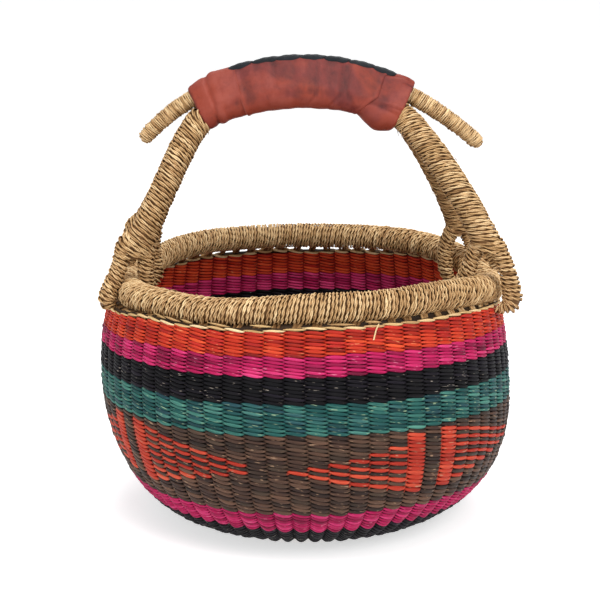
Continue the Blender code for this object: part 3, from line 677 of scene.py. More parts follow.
def build_border(mats):
    """One row of pale twined straw locks the weave, with a few pointed ends above it."""
    strands = Strands(8)
    radius, height, outward, along = profile_frame(turn_at_height(WEAVE_TOP + 0.0001))
    pitch = 0.0022
    rise = pitch * 0.45
    twined_row(strands, radius + along[0] * rise, height + along[1] * rise, outward, along,
               pitch, 200, thick=0.00115, loose=1.8, slope=0.26, tone=0.5,
               plump=(0.56, 0.78, 0.98, 1.12))
    rng = seeded(210)
    count = 15
    s = np.linspace(0, 1, count)
    for stake in range(STAKES):
        place = FIRST_STAKE + stake * STEP
        near = abs(place - math.radians(279)) < math.radians(10)
        if rng.uniform() > (0.95 if near else 0.6 if math.sin(place) > 0.6 else 0.30):
            continue
        start = FIRST_STAKE + (stake + rng.uniform(-0.6, -0.2)) * STEP
        angle = start + s * STEP * rng.uniform(0.8, 1.4)
        lift = np.interp(s, (0, 1), (rng.uniform(0.0040, 0.0050), rng.uniform(0.0028, 0.0036)))
        inset = 0.0024 + 0.0006 * np.cos(s * math.pi) + rng.uniform(0, 0.0008)
        r = radius - inset + along[0] * lift
        z = height + along[1] * lift
        z = z + wall_lift(z, angle)
        path = np.stack([r * np.cos(angle) + sway(z), r * np.sin(angle), z], -1)
        ring = np.stack([np.cos(angle), np.sin(angle), 0 * angle], -1)
        tangent = unit(np.gradient(path, axis=0))
        upward = unit(UP - tangent * tangent[:, 2:])
        fat = 0.0010 * np.sin(math.pi * np.clip(s, 0.03, 0.97)) ** 0.8
        strands.add(path, ring, upward, fat * 0.8, fat, tone=rng.normal(-0.6, 0.9),
                    seed=stake * 0.7, chunk=40)
    place = math.radians(288.9) - 0.02 * s
    z = height + 0.0030 - 0.0120 * s
    r = radius + 0.0012 + 0.0010 * s
    z = z + wall_lift(z, place)
    path = np.stack([r * np.cos(place) + sway(z), r * np.sin(place), z], -1)
    side = np.stack([-np.sin(place), np.cos(place), 0 * place], -1)
    ring = np.stack([np.cos(place), np.sin(place), 0 * place], -1)
    strands.add(path, side, ring, 0.0007, 0.0004, tone=1.5, seed=3.3, chunk=40)
    strands.build("visual_border_row", mats["pale"], "pale_straw", ("border_row",))


def build_base(mats):
    strands = Strands(6)
    flat = base_turn(BASE_WEAVE_RADIUS)
    turns, pitch = even_rows(1e-4, flat, 9)
    row = 300
    for turn in turns:
        radius, height, outward, along = profile_frame(turn)
        twined_row(strands, radius, height, outward, along, pitch, row, ribs=STAKES // 2,
                   depth=0.0026)
        row += 1
    rounds = 16
    pitch = (BASE_RADIUS - HUB_RADIUS) / rounds
    for number in range(rounds):
        radius = HUB_RADIUS + pitch * (number + 0.5)
        twined_row(strands, radius, 0.0, np.array((0.0, -1.0)), np.array((1.0, 0.0)), pitch, row,
                   ribs=STAKES // 2, depth=0.0026)
        row += 1
    strands.build("visual_base_weave", mats["straw"], "straw", ("base_weave",))
    hub = Strands(8)
    for layer, across in ((0, 0.0), (1, math.pi / 2)):
        direction = np.array((math.cos(across), math.sin(across), 0.0))
        sideways = np.array((-math.sin(across), math.cos(across), 0.0))
        for number in range(8):
            offset = (number - 3.5) * 0.0056
            reach = math.sqrt(max(0.0245 ** 2 - offset ** 2, 0.004 ** 2))
            along = np.linspace(-reach, reach, 24)
            weave = 0.0011 * np.cos(along / 0.0056 * math.pi + number * math.pi)
            height = 0.0040 + weave * (1 if layer else -1)
            path = direction * along[:, None] + sideways * offset + UP * height[:, None]
            hub.add(path, np.tile(sideways, (24, 1)), np.tile(UP, (24, 1)), 0.0026, 0.0022,
                    tone=seeded(400 + number + 10 * layer).normal(), seed=number + 10 * layer)
    hub.build("visual_base_hub", mats["straw"], "straw", ("base_hub",))


def rim_point(angle, direction, distance):
    turned = np.mod(np.asarray(angle, float) + math.pi, TURN) - math.pi
    bulge = 0.0030 * np.exp(-(turned / math.radians(28)) ** 2)
    bulge = bulge - 0.0015 * np.exp(-((np.abs(turned) - math.pi) / math.radians(28)) ** 2)
    radius = RIM_RADIUS + bulge + distance * np.cos(direction)
    return np.stack([radius * np.cos(angle), radius * np.sin(angle),
                     rim_height(angle) + distance * np.sin(direction)], -1)


def build_stakes(mats):
    """Each stake runs up inside the weave, fans out in the slot and bends into the rim."""
    strands = Strands(8)
    turns = np.linspace(base_turn(BASE_WEAVE_RADIUS * 0.9), turn_at_height(WEAVE_TOP), 26)
    for number in range(STAKES):
        angle = FIRST_STAKE + number * STEP
        points = []
        for turn in turns:
            radius, height, outward, _ = profile_frame(turn)
            depth = HALF_THICK + WEAVE_DEPTH
            r = radius - outward[0] * depth
            z = height - outward[1] * depth
            z += wall_lift(z, angle)
            points.append((r * math.cos(angle) + sway(z), r * math.sin(angle), z))
        path = np.array(points)
        around = np.array((-math.sin(angle), math.cos(angle), 0.0))
        rng = seeded(600 + number)
        # Stakes inside the weave are toned darker: painted shade.
        add_stake(strands, path, around, 0.0031, 0.0015, -1.6 + rng.normal(0, 0.4), number)
        lean = rng.normal(0, 0.0016)
        for piece in (-1, 0, 1):
            low = path[-1] + around * piece * 0.0021
            turned = angle + (lean + piece * rng.uniform(0.0020, 0.0036)) / RIM_RADIUS
            end = rim_point(np.array(turned), math.radians(-75), RIM_CORE)
            inner = rim_point(np.array(turned), math.radians(-75), 0.0)
            middle = (low + end) / 2 + UP * 0.0006 + around * rng.normal(0, 0.0005)
            fan = catmull([path[-2] + around * piece * 0.0021, low, middle, end, inner], 4)
            # Fanned stakes in the slot are toned dark as painted shade, and lighter round 322
            # degrees as painted light.
            lit = bump_at(np.degrees(angle), 322, 30)
            add_stake(strands, fan, around, 0.0013, 0.0011, 2.2 * lit - 1.7 + rng.normal(0, 0.6),
                      number + 0.3 * piece)
    strands.build("visual_stakes", mats["straw"], "straw", ("rim_core_and_stakes",))
    ring = Strands(16)
    angle = np.arange(272) * TURN / 272
    path = rim_point(angle, 0.0, 0.0)
    out = np.stack([np.cos(angle), np.sin(angle), np.zeros(272)], -1)
    # The rim core is toned very dark: painted shade in the gaps between the cords.
    ring.add(path, out, np.tile(UP, (272, 1)), 0.0097, 0.0097, closed=True, tone=-4.0, chunk=68)
    ring.build("visual_rim_core", mats["straw"], "straw")
    # Cord fillers in each fork's opening, toned a little darker round a dark core: painted shade
    # where the opening lies in shadow.
    fillers = Strands(5)
    for name in FEET:
        fork, up = fork_and_up(name)
        _, _, along = foot_frame(name)
        drop = np.linspace(0.004, -0.024, 14)[:, None]
        path = fork + up * drop
        length, centre, wide, thick = framed(path, along)
        cords(fillers, centre, wide, thick, length, 0.0052, parallel=2, rings=20,
              seed=130 + len(name), tone=-0.5)
        fillers.add(path, wide(drop[:, 0]), thick(drop[:, 0]), 0.0038, 0.0038, tone=-2.5)
    fillers.build("visual_fork_fillers", mats["straw"], "straw")
    # A dark sheet behind the slot between the border and the rim, rising up under the rim at the
    # front: painted shade where the slot lies in shadow.
    slot_shade_sheet = Strands(5)
    low = WEAVE_TOP - 0.0010
    low = low + wall_lift(low, angle)
    inner = profile(2.0)[0] - HALF_THICK - WEAVE_DEPTH - 0.0004
    path = np.stack([inner * np.cos(angle) + sway(low), inner * np.sin(angle), low + 0.0014], -1)
    slot_shade_sheet.add(path, out, np.tile(UP, (272, 1)), 0.0014, 0.0018, closed=True, chunk=68)
    under = rim_point(angle, math.radians(-88), RIM_CORE)
    front = np.clip(-np.sin(angle) * 3 + 0.5, 0, 1)[:, None]
    rising = (under - path + out * 0.002) * front
    side = np.stack([-np.sin(angle), np.cos(angle), np.zeros(272)], -1)
    size = np.linalg.norm(rising, axis=1)
    rising = unit(rising + UP * 1e-4)
    slot_shade_sheet.add(path - out * 0.002 + rising * size[:, None] / 2, np.cross(side, rising), rising,
               0.0006, np.maximum(size / 2, 0.0006), closed=True, seed=4.0, chunk=68)
    slot_shade_sheet.build("visual_slot_shade_sheet", mats["dark"], "straw")


def add_stake(strands, path, around, half_wide, half_thick, tone, seed):
    tangent = unit(np.gradient(path, axis=0))
    side = unit(around - tangent * (tangent @ around)[:, None])
    rise = np.cross(tangent, side)
    size = 1 + 0.10 * wander(len(path), 650 + int(seed * 10), 3)
    strands.add(path, side, rise, half_wide * size, half_thick * size, tone=tone,
                seed=seed * 1.3, chunk=200)


# Cord binding

def cords(strands, centre, out, up, length, radius, wide=1.0, pitch=0.0031, parallel=4, hand=1,
          rings=42, seed=0, ply=0.00082, twist=0.014, tone=0.0, part=(0.0, 1.0), loose=1.0,
          lay=-1):
    """Two-ply cords wound side by side round a bundle whose centreline and frame are given."""
    lead = pitch * parallel
    turns = length / lead
    for strand in range(parallel):
        count = max(int(turns * rings), 8)
        phase = np.linspace(0, turns * TURN, count)
        rng = seeded(seed * 31 + strand)
        wobble = 0.08 * pitch * loose * wander(count, seed * 17 + strand, rings / 4)
        slow = 0.05 * pitch * loose * wander(count, seed * 19 + strand, rings * 1.3)
        place = phase / TURN * lead + wobble + slow
        share = np.clip(place / length, 0, 1)
        angle = hand * phase + strand * TURN / parallel
        middle, outward, upward = centre(share), out(share), up(share)
        fat = ply(share) if callable(ply) else np.full(count, ply)
        offset = fat * 0.88
        size = radius(share) if callable(radius) else radius
        broad = wide(share) if callable(wide) else wide
        lift = 0.00022 * loose * wander(count, seed * 23 + strand, rings / 5)
        reach = size - fat - offset + lift
        ray = (outward * (np.cos(angle) * broad)[:, None] + upward * np.sin(angle)[:, None])
        path = middle + ray * np.broadcast_to(reach, (count,))[:, None]
        normal = unit(outward * np.cos(angle)[:, None] + upward * (np.sin(angle) * broad)[:, None])
        tangent = unit(np.gradient(path, axis=0))
        normal = unit(normal - tangent * np.sum(normal * tangent, -1, keepdims=True))
        beside = np.cross(tangent, normal)
        run = np.concatenate([[0], np.cumsum(np.linalg.norm(np.diff(path, axis=0), axis=1))])
        rolled = lay * run / twist * TURN + rng.uniform(0, TURN)
        rolled = rolled + 0.7 * wander(count, seed + strand, rings / 3)
        rolled = rolled + 2.6 * wander(count, seed + strand + 900, rings)
        keep = (share >= part[0]) & (share <= part[1])
        if keep.sum() < 4:
            continue
        cell = np.floor(run / twist).astype(int)
        tones = rng.normal(0, 0.5, cell[-1] + 1)[cell] + tone + 0.12 * rng.normal()
        # Painted light and shade round each ply: lighter on its outward crest, darker on its flanks
        # and darkest where it faces the bundle.
        facing = np.sin(np.arange(strands.sides) * TURN / strands.sides + TURN / 4)
        crest_light_and_shade = np.interp(facing, (-1, 0, 0.31, 1), (-2.4, -1.9, -1.0, 1.1))
        for number in (0, 1):
            spun = rolled + number * math.pi
            ply_path = path + (beside * np.cos(spun)[:, None]
                               + normal * np.sin(spun)[:, None]) * offset[:, None]
            own = fat * (1 + 0.09 * wander(count, seed * 29 + 2 * strand + number, rings / 6))
            strands.add(ply_path[keep], beside[keep], normal[keep], own[keep], own[keep],
                        turn=rolled[keep], tone=(tones[keep] + 0.15 * rng.normal())[:, None] + crest_light_and_shade,
                        seed=seed * 1.7 + strand * 0.9 + number * 0.4, chunk=rings * 4)


def whiskers(strands, centre, out, up, radius, count, seed):
    """Loose fibre ends that stand off a wrapped bundle."""
    rng = seeded(seed)
    s = np.linspace(0, 1, 9)
    for number in range(count):
        share = np.clip(rng.uniform(0.02, 0.98) + 0 * s, 0, 1)
        angle = rng.uniform(0, TURN) + s * rng.uniform(0.3, 0.9) * rng.choice((-1, 1))
        middle, outward, upward = centre(share), out(share), up(share)
        along = np.cross(outward[0], upward[0])
        reach = radius + 0.0004 + rng.uniform(0.0004, 0.0028) * s ** 2
        path = middle + (outward * np.cos(angle)[:, None]
                         + upward * np.sin(angle)[:, None]) * reach[:, None]
        path = path + along * (s * rng.uniform(-0.006, 0.006))[:, None]
        tangent = unit(np.gradient(path, axis=0))
        side = unit(np.cross(tangent, UP + 0.01))
        fat = 0.00034 * (1 - 0.7 * s ** 2)
        strands.add(path, side, np.cross(side, tangent), fat, fat, tone=rng.normal(0.6, 0.6),
                    seed=seed + number, chunk=40)


def build_rim(mats):
    def angle_at(share):
        """The cords lie wider apart at the two ends than at the front and back."""
        return (share + 0.0151 * np.sin(2 * TURN * share)) * TURN + STEP

    def centre(share):
        return rim_point(angle_at(share), 0.0, 0.0)

    def out(share):
        angle = angle_at(share)
        return np.stack([np.cos(angle), np.sin(angle), np.zeros_like(angle)], -1)

    def up(share):
        return np.tile(UP, (len(share), 1))

    def size_at(share):
        return round_table(angle_at(share), 4)

    def ply_at(share):
        return 0.00091 * (1 + 0.19 * np.cos(2 * TURN * share))

    shares = (0.27, 0.22, 0.30, 0.21)
    edges = np.round(np.cumsum(shares) * STAKES) / STAKES
    fine = np.linspace(0, 1, 2001)
    edges = np.interp(edges * TURN + STEP, angle_at(fine), fine)
    low = 0.0
    for number, high in enumerate(edges, 1):
        strands = Strands(5)
        cords(strands, centre, out, up, TURN * RIM_RADIUS, size_at, hand=1, seed=40 + number,
              part=(low - 0.0012, high + 0.0012), tone=(0.6, 0.6, 0.3, 0.0)[number - 1], ply=ply_at,
              pitch=0.0037)
        ends = low, high

        def inside(share, ends=ends):
            return centre(ends[0] + (ends[1] - ends[0]) * share)

        def inside_out(share, ends=ends):
            return out(ends[0] + (ends[1] - ends[0]) * share)

        whiskers(strands, inside, inside_out, up, WRAP_RADIUS, 9, 240 + number)
        name = f"rim_wrap_{number}"
        strands.build("visual_" + name, mats["straw"], "straw", (name,))
        low = high


def arch_point(angle, rise, depth=0.0):
    angle = np.asarray(angle, float)
    radius = ARCH_RADIUS + rise
    return np.stack([ARCH_SHIFT + radius * np.sin(angle), depth + 0 * angle,
                     ARCH_HEIGHT + radius * np.cos(angle)], -1)


def foot_frame(name):
    gap = FEET[name][0]
    angle = gap * STEP
    outward = np.array((math.cos(angle), math.sin(angle), 0.0))
    along = np.array((-math.sin(angle), math.cos(angle), 0.0))
    return outward * RIM_RADIUS + UP * float(cad_rim_height(angle)), outward, along


def fork_and_up(name):
    _, side, _, fork_out, _, lean = FEET[name]
    centre, outward, _ = foot_frame(name)
    fork = centre + outward * fork_out * WRAP_RADIUS + UP * FORK_LIFT
    sideways = unit(np.array((-side, 0.0, 0.0)) * 0.7 - outward * 0.3)
    lean = math.radians(lean)
    return fork, sideways * math.sin(lean) + UP * math.cos(lean)


def leg_curve(name, count=120):
    _, side, row, _, _, _ = FEET[name]
    fork, up = fork_and_up(name)
    low = fork + up * GAP
    end = RIGHT_GRIP if side > 0 else -LEFT_GRIP
    top = arch_point(end, -BUNDLE_DROP, row * BUNDLE_SPREAD)
    into = np.array((math.cos(end), 0.0, -math.sin(end))) * -side
    a, b, c, d = low, low + up * 0.040, top - into * 0.016, top
    s = np.linspace(0, 1, count)[:, None]
    return a * (1 - s) ** 3 + b * 3 * (1 - s) ** 2 * s + c * 3 * (1 - s) * s ** 2 + d * s ** 3


def framed(path, across):
    """Length and lookups by share of the length for a path, with its section directions."""
    steps = np.linalg.norm(np.diff(path, axis=0), axis=1)
    run = np.concatenate([[0], np.cumsum(steps)])
    tangent = unit(np.gradient(path, run, axis=0))
    wide = unit(across - tangent * (tangent @ across)[:, None])
    thick = np.cross(tangent, wide)
    share = run / run[-1]

    def lookup(table):
        def at(place):
            return np.stack([np.interp(place, share, table[:, k]) for k in range(3)], -1)
        return at
    return run[-1], lookup(path), lookup(wide), lookup(thick)


def catmull(knots, steps):
    points = [2 * knots[0] - knots[1], *knots, 2 * knots[-1] - knots[-2]]
    path = []
    for index in range(1, len(points) - 2):
        p0, p1, p2, p3 = points[index - 1:index + 3]
        for step in range(steps):
            s = step / steps
            path.append(0.5 * (2 * p1 + (p2 - p0) * s + (2 * p0 - 5 * p1 + 4 * p2 - p3) * s ** 2
                               + (3 * p1 - p0 - 3 * p2 + p3) * s ** 3))
    path.append(knots[-1])
    return np.array(path)


# How much thicker each loop's outer strand is, how slack it is, its shift outward and its drop
OUTER_STRAND = {
    "right_front": (1.22, 0.50, 0.0, 0.0024),
    "right_rear": (1.0, 0.08, 0.0, 0.0),
    "left_front": (1.12, 0.04, -0.0012, 0.0042),
    "left_rear": (1.0, 0.04, -0.0012, 0.0),
}
INNER_SHIFT = {
    "right_front": lambda outward, along: 0 * outward,
    "right_rear": lambda outward, along: along * 0.0045 - outward * 0.0050 + UP * 0.0030,
    "left_front": lambda outward, along: outward * 0.0045,
    "left_rear": lambda outward, along: outward * 0.0045,
}


def loop_curve(name):
    """Centreline and half sizes of the strand that passes under the rim."""
    centre, outward, along = foot_frame(name)
    fork, up = fork_and_up(name)
    swell, slack_size, shift, drop = OUTER_STRAND[name]
    slack_size *= WRAP_RADIUS
    spread = np.cross(UP, along)
    spread = unit(spread if spread @ outward > 0 else -spread)
    fork = fork - up * GAP
    step = unit(outward - up * (outward @ up)) * (STRAND_RADIUS + GAP)
    knots = []
    sizes = []
    for degrees, thick_share, wide_share in STRAND_TURN:
        thicker = 1 + (swell - 1) * thick_share * (degrees > -60)
        thick = (SLOT_HALF + (STRAND_RADIUS - SLOT_HALF) * thick_share) * thicker
        wide = (SLOT_HALF_WIDTH + (STRAND_RADIUS - SLOT_HALF_WIDTH) * wide_share) * thicker
        slack = slack_size * max(0, math.cos(math.radians(degrees))) * thick_share
        distance = WRAP_RADIUS + GAP + thick + slack + shift * thick_share * (degrees > -60)
        direction = math.radians(degrees)
        point = centre + outward * distance * math.cos(direction)
        point = point - UP * drop * np.interp(degrees, (-80, -55, -16, 20), (0, 1, 1, 0.5))
        inward = min(max(0, -90 - degrees) / 90, 1)
        knots.append(point + UP * distance * math.sin(direction) + INNER_SHIFT[name](
            outward, along) * inward)
        sizes.append((thick, wide))
    outer = (knots[0] + fork + step) / 2 + spread * (slack_size + GAP) / 2
    inner = (knots[-1] + fork - step) / 2 + INNER_SHIFT[name](outward, along) * 0.6
    full = (STRAND_RADIUS, STRAND_RADIUS)
    if FEET[name][1] < 0:
        shoulder = fork + step * 1.42 - up * 0.011
        knots = [fork + step, shoulder, outer, *knots, inner, fork - step]
        sizes = np.array([full, full, full, *sizes, full, full])
    else:
        knots = [fork + step, outer, *knots, inner, fork - step]
        sizes = np.array([full, full, *sizes, full, full])
    return catmull(knots, 10), catmull(list(sizes), 10), along


def core_tube(name, path, across, half_thick, half_wide, material):
    strands = Strands(12)
    tangent = unit(np.gradient(path, axis=0))
    wide = unit(across - tangent * (tangent @ across)[:, None])
    # The core is toned dark: painted shade where it shows between the cords.
    strands.add(path, wide, np.cross(tangent, wide), half_wide, half_thick, tone=-2.5, chunk=40)
    return strands.build(name, material, "straw")


def fork_sleeve(name, depth):
    """Centres and half widths where the leg's binding runs on down over both its strands."""
    path, _, _ = loop_curve(name)
    run = np.concatenate([[0], np.cumsum(np.linalg.norm(np.diff(path, axis=0), axis=1))])
    down = np.linspace(depth, 0.0015, 7)
    outer = np.stack([np.interp(down, run, path[:, k]) for k in range(3)], -1)
    inner = np.stack([np.interp(run[-1] - down, run, path[:, k]) for k in range(3)], -1)
    return (outer + inner) / 2, np.linalg.norm(outer - inner, axis=1) / 2 + STRAND_RADIUS + 0.0002


# How far each leg's binding runs down over its fork, and its half widths there and above
SLEEVES = {
    "right_front": (0.008, 0.0152, 0.0131),
    "right_rear": (0.010, 0.0158, 0.0136),
    "left_front": (0.018, 0.0166, 0.0140),
    "left_rear": (0.015, 0.0166, 0.0140),
}


def build_legs(mats):
    depth = np.array((0.0, 1.0, 0.0))
    for number, name in enumerate(FEET):
        side = FEET[name][1]
        sleeve_depth, at_fork, above = SLEEVES[name]
        sleeve, sleeve_wide = fork_sleeve(name, sleeve_depth)
        path = np.concatenate([sleeve, leg_curve(name)])
        outer, _, _ = loop_curve(name)
        across = unit(outer[0] - outer[-1])
        length, centre, wide, thick = framed(path, across)
        run = np.concatenate([[0], np.cumsum(np.linalg.norm(np.diff(path, axis=0), axis=1))])
        share = run / length
        below = share[len(sleeve)]
        half_wide = np.interp(share, [*share[:len(sleeve)], below, below + 0.09, below + 0.22],
                              [*sleeve_wide, at_fork, above, 0.0125])
        half_thick = np.interp(share, [0, below, below + 0.16], [0.0094, 0.0104, 0.0125])

        def size_at(place, share=share, half_thick=half_thick):
            return np.interp(place, share, half_thick)

        def broad_at(place, share=share, half_thick=half_thick, half_wide=half_wide):
            return np.interp(place, share, half_wide / half_thick)

        strands = Strands(5)
        # The rear legs' cords are toned darker than the front ones: painted shade.
        cords(strands, centre, wide, thick, length, size_at, wide=broad_at, hand=-1,
              seed=60 + number, parallel=7 if side > 0 else 5, pitch=0.0033, twist=0.022,
              tone=(0.2, -0.9, 0.1, -0.4)[number], loose=0.9)
        whiskers(strands, centre, wide, thick, 0.0125, 7, 260 + number)
        node = f"{name}_leg_wrap"
        strands.build("visual_" + node, mats["straw"], "straw", (node,))
        core_tube(f"visual_{name}_leg_core", path, across, half_thick - 0.0026,
                  half_wide - 0.0026, mats["straw"])
        path, sizes, along = loop_curve(name)
        length, centre, wide, thick = framed(path, along)
        steps = np.linalg.norm(np.diff(path, axis=0), axis=1)
        share = np.concatenate([[0], np.cumsum(steps)]) / length
        half_thick = np.maximum(sizes[:, 0], SLOT_HALF)
        half_wide = sizes[:, 1]

        def loop_size(place, share=share, half_thick=half_thick):
            return np.interp(place, share, half_thick)

        def loop_broad(place, share=share, half_thick=half_thick, half_wide=half_wide):
            return np.interp(place, share, half_wide / half_thick)

        strands = Strands(5)
        cords(strands, centre, wide, thick, length, loop_size, wide=loop_broad, hand=-1,
              seed=80 + number, parallel=3, rings=26, ply=0.00090, pitch=0.0036)
        node = f"{name}_rim_loop"
        strands.build("visual_" + node, mats["straw"], "straw", (node,))
        core_tube(f"visual_{name}_loop_core", path, along, np.maximum(half_thick - 0.0026, 0.0004),
                  np.maximum(half_wide - 0.0026, 0.0004), mats["straw"])
    for row, left, right in (("front", "left_front", "right_front"),
                             ("rear", "left_rear", "right_rear")):
        side = -1 if row == "front" else 1
        angles = np.linspace(-LEFT_GRIP, RIGHT_GRIP, 30)[1:-1]
        middle = arch_point(angles, -BUNDLE_DROP, side * BUNDLE_SPREAD)
        path = np.concatenate([leg_curve(left, 40), middle, leg_curve(right, 40)[::-1]])
        strands = Strands(12)
        tangent = unit(np.gradient(path, axis=0))
        wide = unit(depth - tangent * (tangent @ depth)[:, None])
        # The bundle is toned dark: painted shade where it shows between the leg cords.
        strands.add(path, wide, np.cross(tangent, wide), 0.0097, 0.0097, tone=-2.5, chunk=40)
        node = f"{row}_handle_bundle"
        strands.build("visual_" + node, mats["straw"], "straw", (node,))


def horn_path(side):
    start = RIGHT_GRIP if side > 0 else LEFT_GRIP
    length = 0.0805 if side > 0 else 0.0605
    bend = math.radians(14 if side > 0 else 20)
    root = arch_point(side * start, HORN_RISE)
    angle = start + bend * np.linspace(0, 1, 60)
    reach = np.stack([side * (np.sin(angle) - math.sin(start)), 0 * angle,
                      np.cos(angle) - math.cos(start)], -1) * length / bend
    lead_in = arch_point(side * np.linspace(start - 0.06, start, 8)[:-1], HORN_RISE)
    return np.concatenate([lead_in, root + reach])


def build_horns(mats):
    strands = Strands(6)
    depth = np.array((0.0, 1.0, 0.0))
    for number, side in enumerate((-1, 1)):
        path = horn_path(side)
        length, centre, wide, thick = framed(path, depth)

        def size_at(share):
            end = np.clip((share - 0.93) / 0.07, 0, 1)
            return HORN_RADIUS * (1 - 0.14 * share ** 2) * np.sqrt(1 - 0.92 * end ** 2)

        cords(strands, centre, wide, thick, length, size_at, hand=-side, seed=110 + number,
              parallel=2, rings=26, pitch=0.00185, ply=0.00056, twist=0.030, tone=0.4)
        tangent = unit(np.gradient(path, axis=0))
        across = unit(depth - tangent * (tangent @ depth)[:, None])
        core = size_at(np.linspace(0, 1, len(path))) - 0.0010
        # The horn's core is toned dark: painted shade where it shows between the cords.
        strands.add(path, across, np.cross(tangent, across), core, core, tone=-2.5, chunk=80)
    angles = np.linspace(-LEFT_GRIP, RIGHT_GRIP, 20)
    path = arch_point(angles, HORN_RISE)
    tangent = unit(np.gradient(path, axis=0))
    across = np.tile(depth, (20, 1))
    strands.add(path, across, np.cross(tangent, across), 0.0075, 0.0075, chunk=80)
    strands.build("visual_horns", mats["straw"], "straw", ("horn_bundle",))


# Leather grip

def taut_reach(angle, offset):
    """Support distance of leather pulled tight round the three bundles."""
    circles = ((0, HORN_RISE, HORN_RADIUS), (-BUNDLE_SPREAD, -BUNDLE_DROP, BUNDLE_RADIUS),
               (BUNDLE_SPREAD, -BUNDLE_DROP, BUNDLE_RADIUS))
    reach = np.max([np.cos(angle) * x + np.sin(angle) * y + r for x, y, r in circles], axis=0)
    return reach + offset


def taut_outline(count, offset):
    fine = np.linspace(0, TURN, 1441)[:-1]
    reach = taut_reach(fine, offset)
    slope = (np.roll(reach, -1) - np.roll(reach, 1)) / (2 * (fine[1] - fine[0]))
    depth = reach * np.cos(fine) - slope * np.sin(fine)
    rise = reach * np.sin(fine) + slope * np.cos(fine)
    steps = np.hypot(np.diff(np.append(depth, depth[0])), np.diff(np.append(rise, rise[0])))
    run = np.concatenate([[0], np.cumsum(steps)])
    want = np.arange(count) / count * run[-1]
    ends = np.append(np.arange(len(fine)), len(fine))
    place = np.interp(want, run, ends)
    depth = np.interp(place, ends, np.append(depth, depth[0]))
    rise = np.interp(place, ends, np.append(rise, rise[0]))
    normal = np.interp(place, ends, np.append(fine, TURN))
    return depth, rise, normal


def bump_at(value, centre, half):
    """A smooth hump of height 1 at the centre that ends at centre plus or minus half."""
    return np.clip(1 - ((value - centre) / half) ** 2, 0, 1) ** 2


def leather_lift(angle, normal, number):
    """How far the hide stands off its tight shape: folds, sags and puckers."""
    degrees = np.degrees(angle)
    top = np.maximum(np.sin(normal), 0)
    under = np.maximum(-np.sin(normal), 0)
    front = np.maximum(-np.cos(normal), 0)
    lift = 0.00022 * np.sin(angle * 31 + 1.4 * np.cos(normal * 2 + number))
    lift = lift + 0.00016 * np.sin(angle * 83 + 2.0 * np.sin(normal + number) + 3 * number)
    lift = lift + 0.0024 * under * bump_at(degrees, -1, 32)
    if number == 0:
        fold = degrees + 24.6 - 0.8 * np.sin(normal)
        lift = lift + 0.0030 * top * bump_at(degrees, -22.5, 8)
        lift = lift + 0.0009 * bump_at(fold, 0.9, 1.5) - 0.0008 * bump_at(fold, -0.7, 0.9)
    if number == 1:
        for place, deep in ((-9, 0.0003), (2, 0.0004), (8.5, 0.0005), (12.5, 0.0006)):
            crease = degrees - place - 1.6 * np.sin(normal * 2 + place)
            lift = lift - deep * bump_at(crease, 0, 1.1) * (0.3 + front)
    if number == 2:
        lift = lift + 0.0095 * under * bump_at(degrees, 22.5, 8)
        spread = bump_at(degrees, 26, 6) * top
        lift = lift + 0.0017 * spread * np.sin(normal * 15 + degrees * 0.5)
        lift = lift + 0.0016 * top * bump_at(degrees, 25, 5)
    return lift


def build_leather(mats):
    around = 120
    spans = (("leather_end_left", -LEFT_GRIP, LEFT_SEAM + 0.010, 56, 0.0, (0.0, 0.0)),
             ("leather_grip", LEFT_SEAM - 0.002, RIGHT_SEAM + 0.004, 130, 0.0009, (0.012, 0.030)),
             ("leather_end_right", RIGHT_SEAM - 0.020, RIGHT_GRIP, 72, 0.0, (0.0, 0.0)))
    depth, rise, normal = taut_outline(around, GAP + 0.0018)
    n = normal[None]
    for number, (name, start, end, steps, proud, slant) in enumerate(spans):
        share = np.linspace(0, 1, steps)[:, None]
        first = start + slant[0] * 0.5 * (1 - np.sin(n)) * np.cos(n / 2) ** 2
        last = end + slant[1] * (1 + np.sin(n)) * 1.6
        a = first + (last - first) * share
        lift = proud + leather_lift(a, n, number)
        if number == 1:
            rest = np.minimum(share, 1 - share) * steps
            lift = lift + 0.0004 * bump_at(rest, 2.5, 2.5) - 0.0011 * np.clip(1 - rest, 0, 1)
        else:
            outer = share if number == 0 else 1 - share
            lift = lift - 0.0014 * np.clip(1 - outer * steps / 4, 0, 1) ** 2
        lift = np.maximum(lift, -0.0013)
        wide = depth[None] + lift * np.cos(n)
        high = rise[None] + lift * np.sin(n)
        points = arch_point(a, high) + np.stack([0 * wide, wide, 0 * wide], -1)
        i = np.arange(steps - 1)[:, None]
        j = np.arange(around)[None]
        beside = (j + 1) % around
        quads = np.stack([i * around + j, i * around + beside, (i + 1) * around + beside,
                          (i + 1) * around + j], -1).reshape(-1, 4)[:, ::-1]
        u = np.stack(np.broadcast_arrays(i, i, i + 1, i + 1), -1) / (steps - 1) * np.ones(
            (1, around, 1))
        v = np.stack([j, j + 1, j + 1, j], -1) / around * np.ones((steps - 1, 1, 1))
        uv = np.stack([u, v], -1)[:, :, ::-1].reshape(-1, 2)
        # Lighter where the hide stands out, as wear, and darker where it sinks into creases and
        # folds, as painted shade; the grip piece is also lighter along its first rings at the left
        # seam.
        wear = np.clip((lift - proud) * 420, -0.9, 0.5)
        if number == 1:
            wear = wear + np.clip(2 - share * steps, 0, 1)
        wear = wear.reshape(-1)
        make_piece("visual_" + name, points.reshape(-1, 3), quads, mats["leather"],
                   "brown_leather", (name,), uv=uv, wear=wear)
    build_lacing(mats)


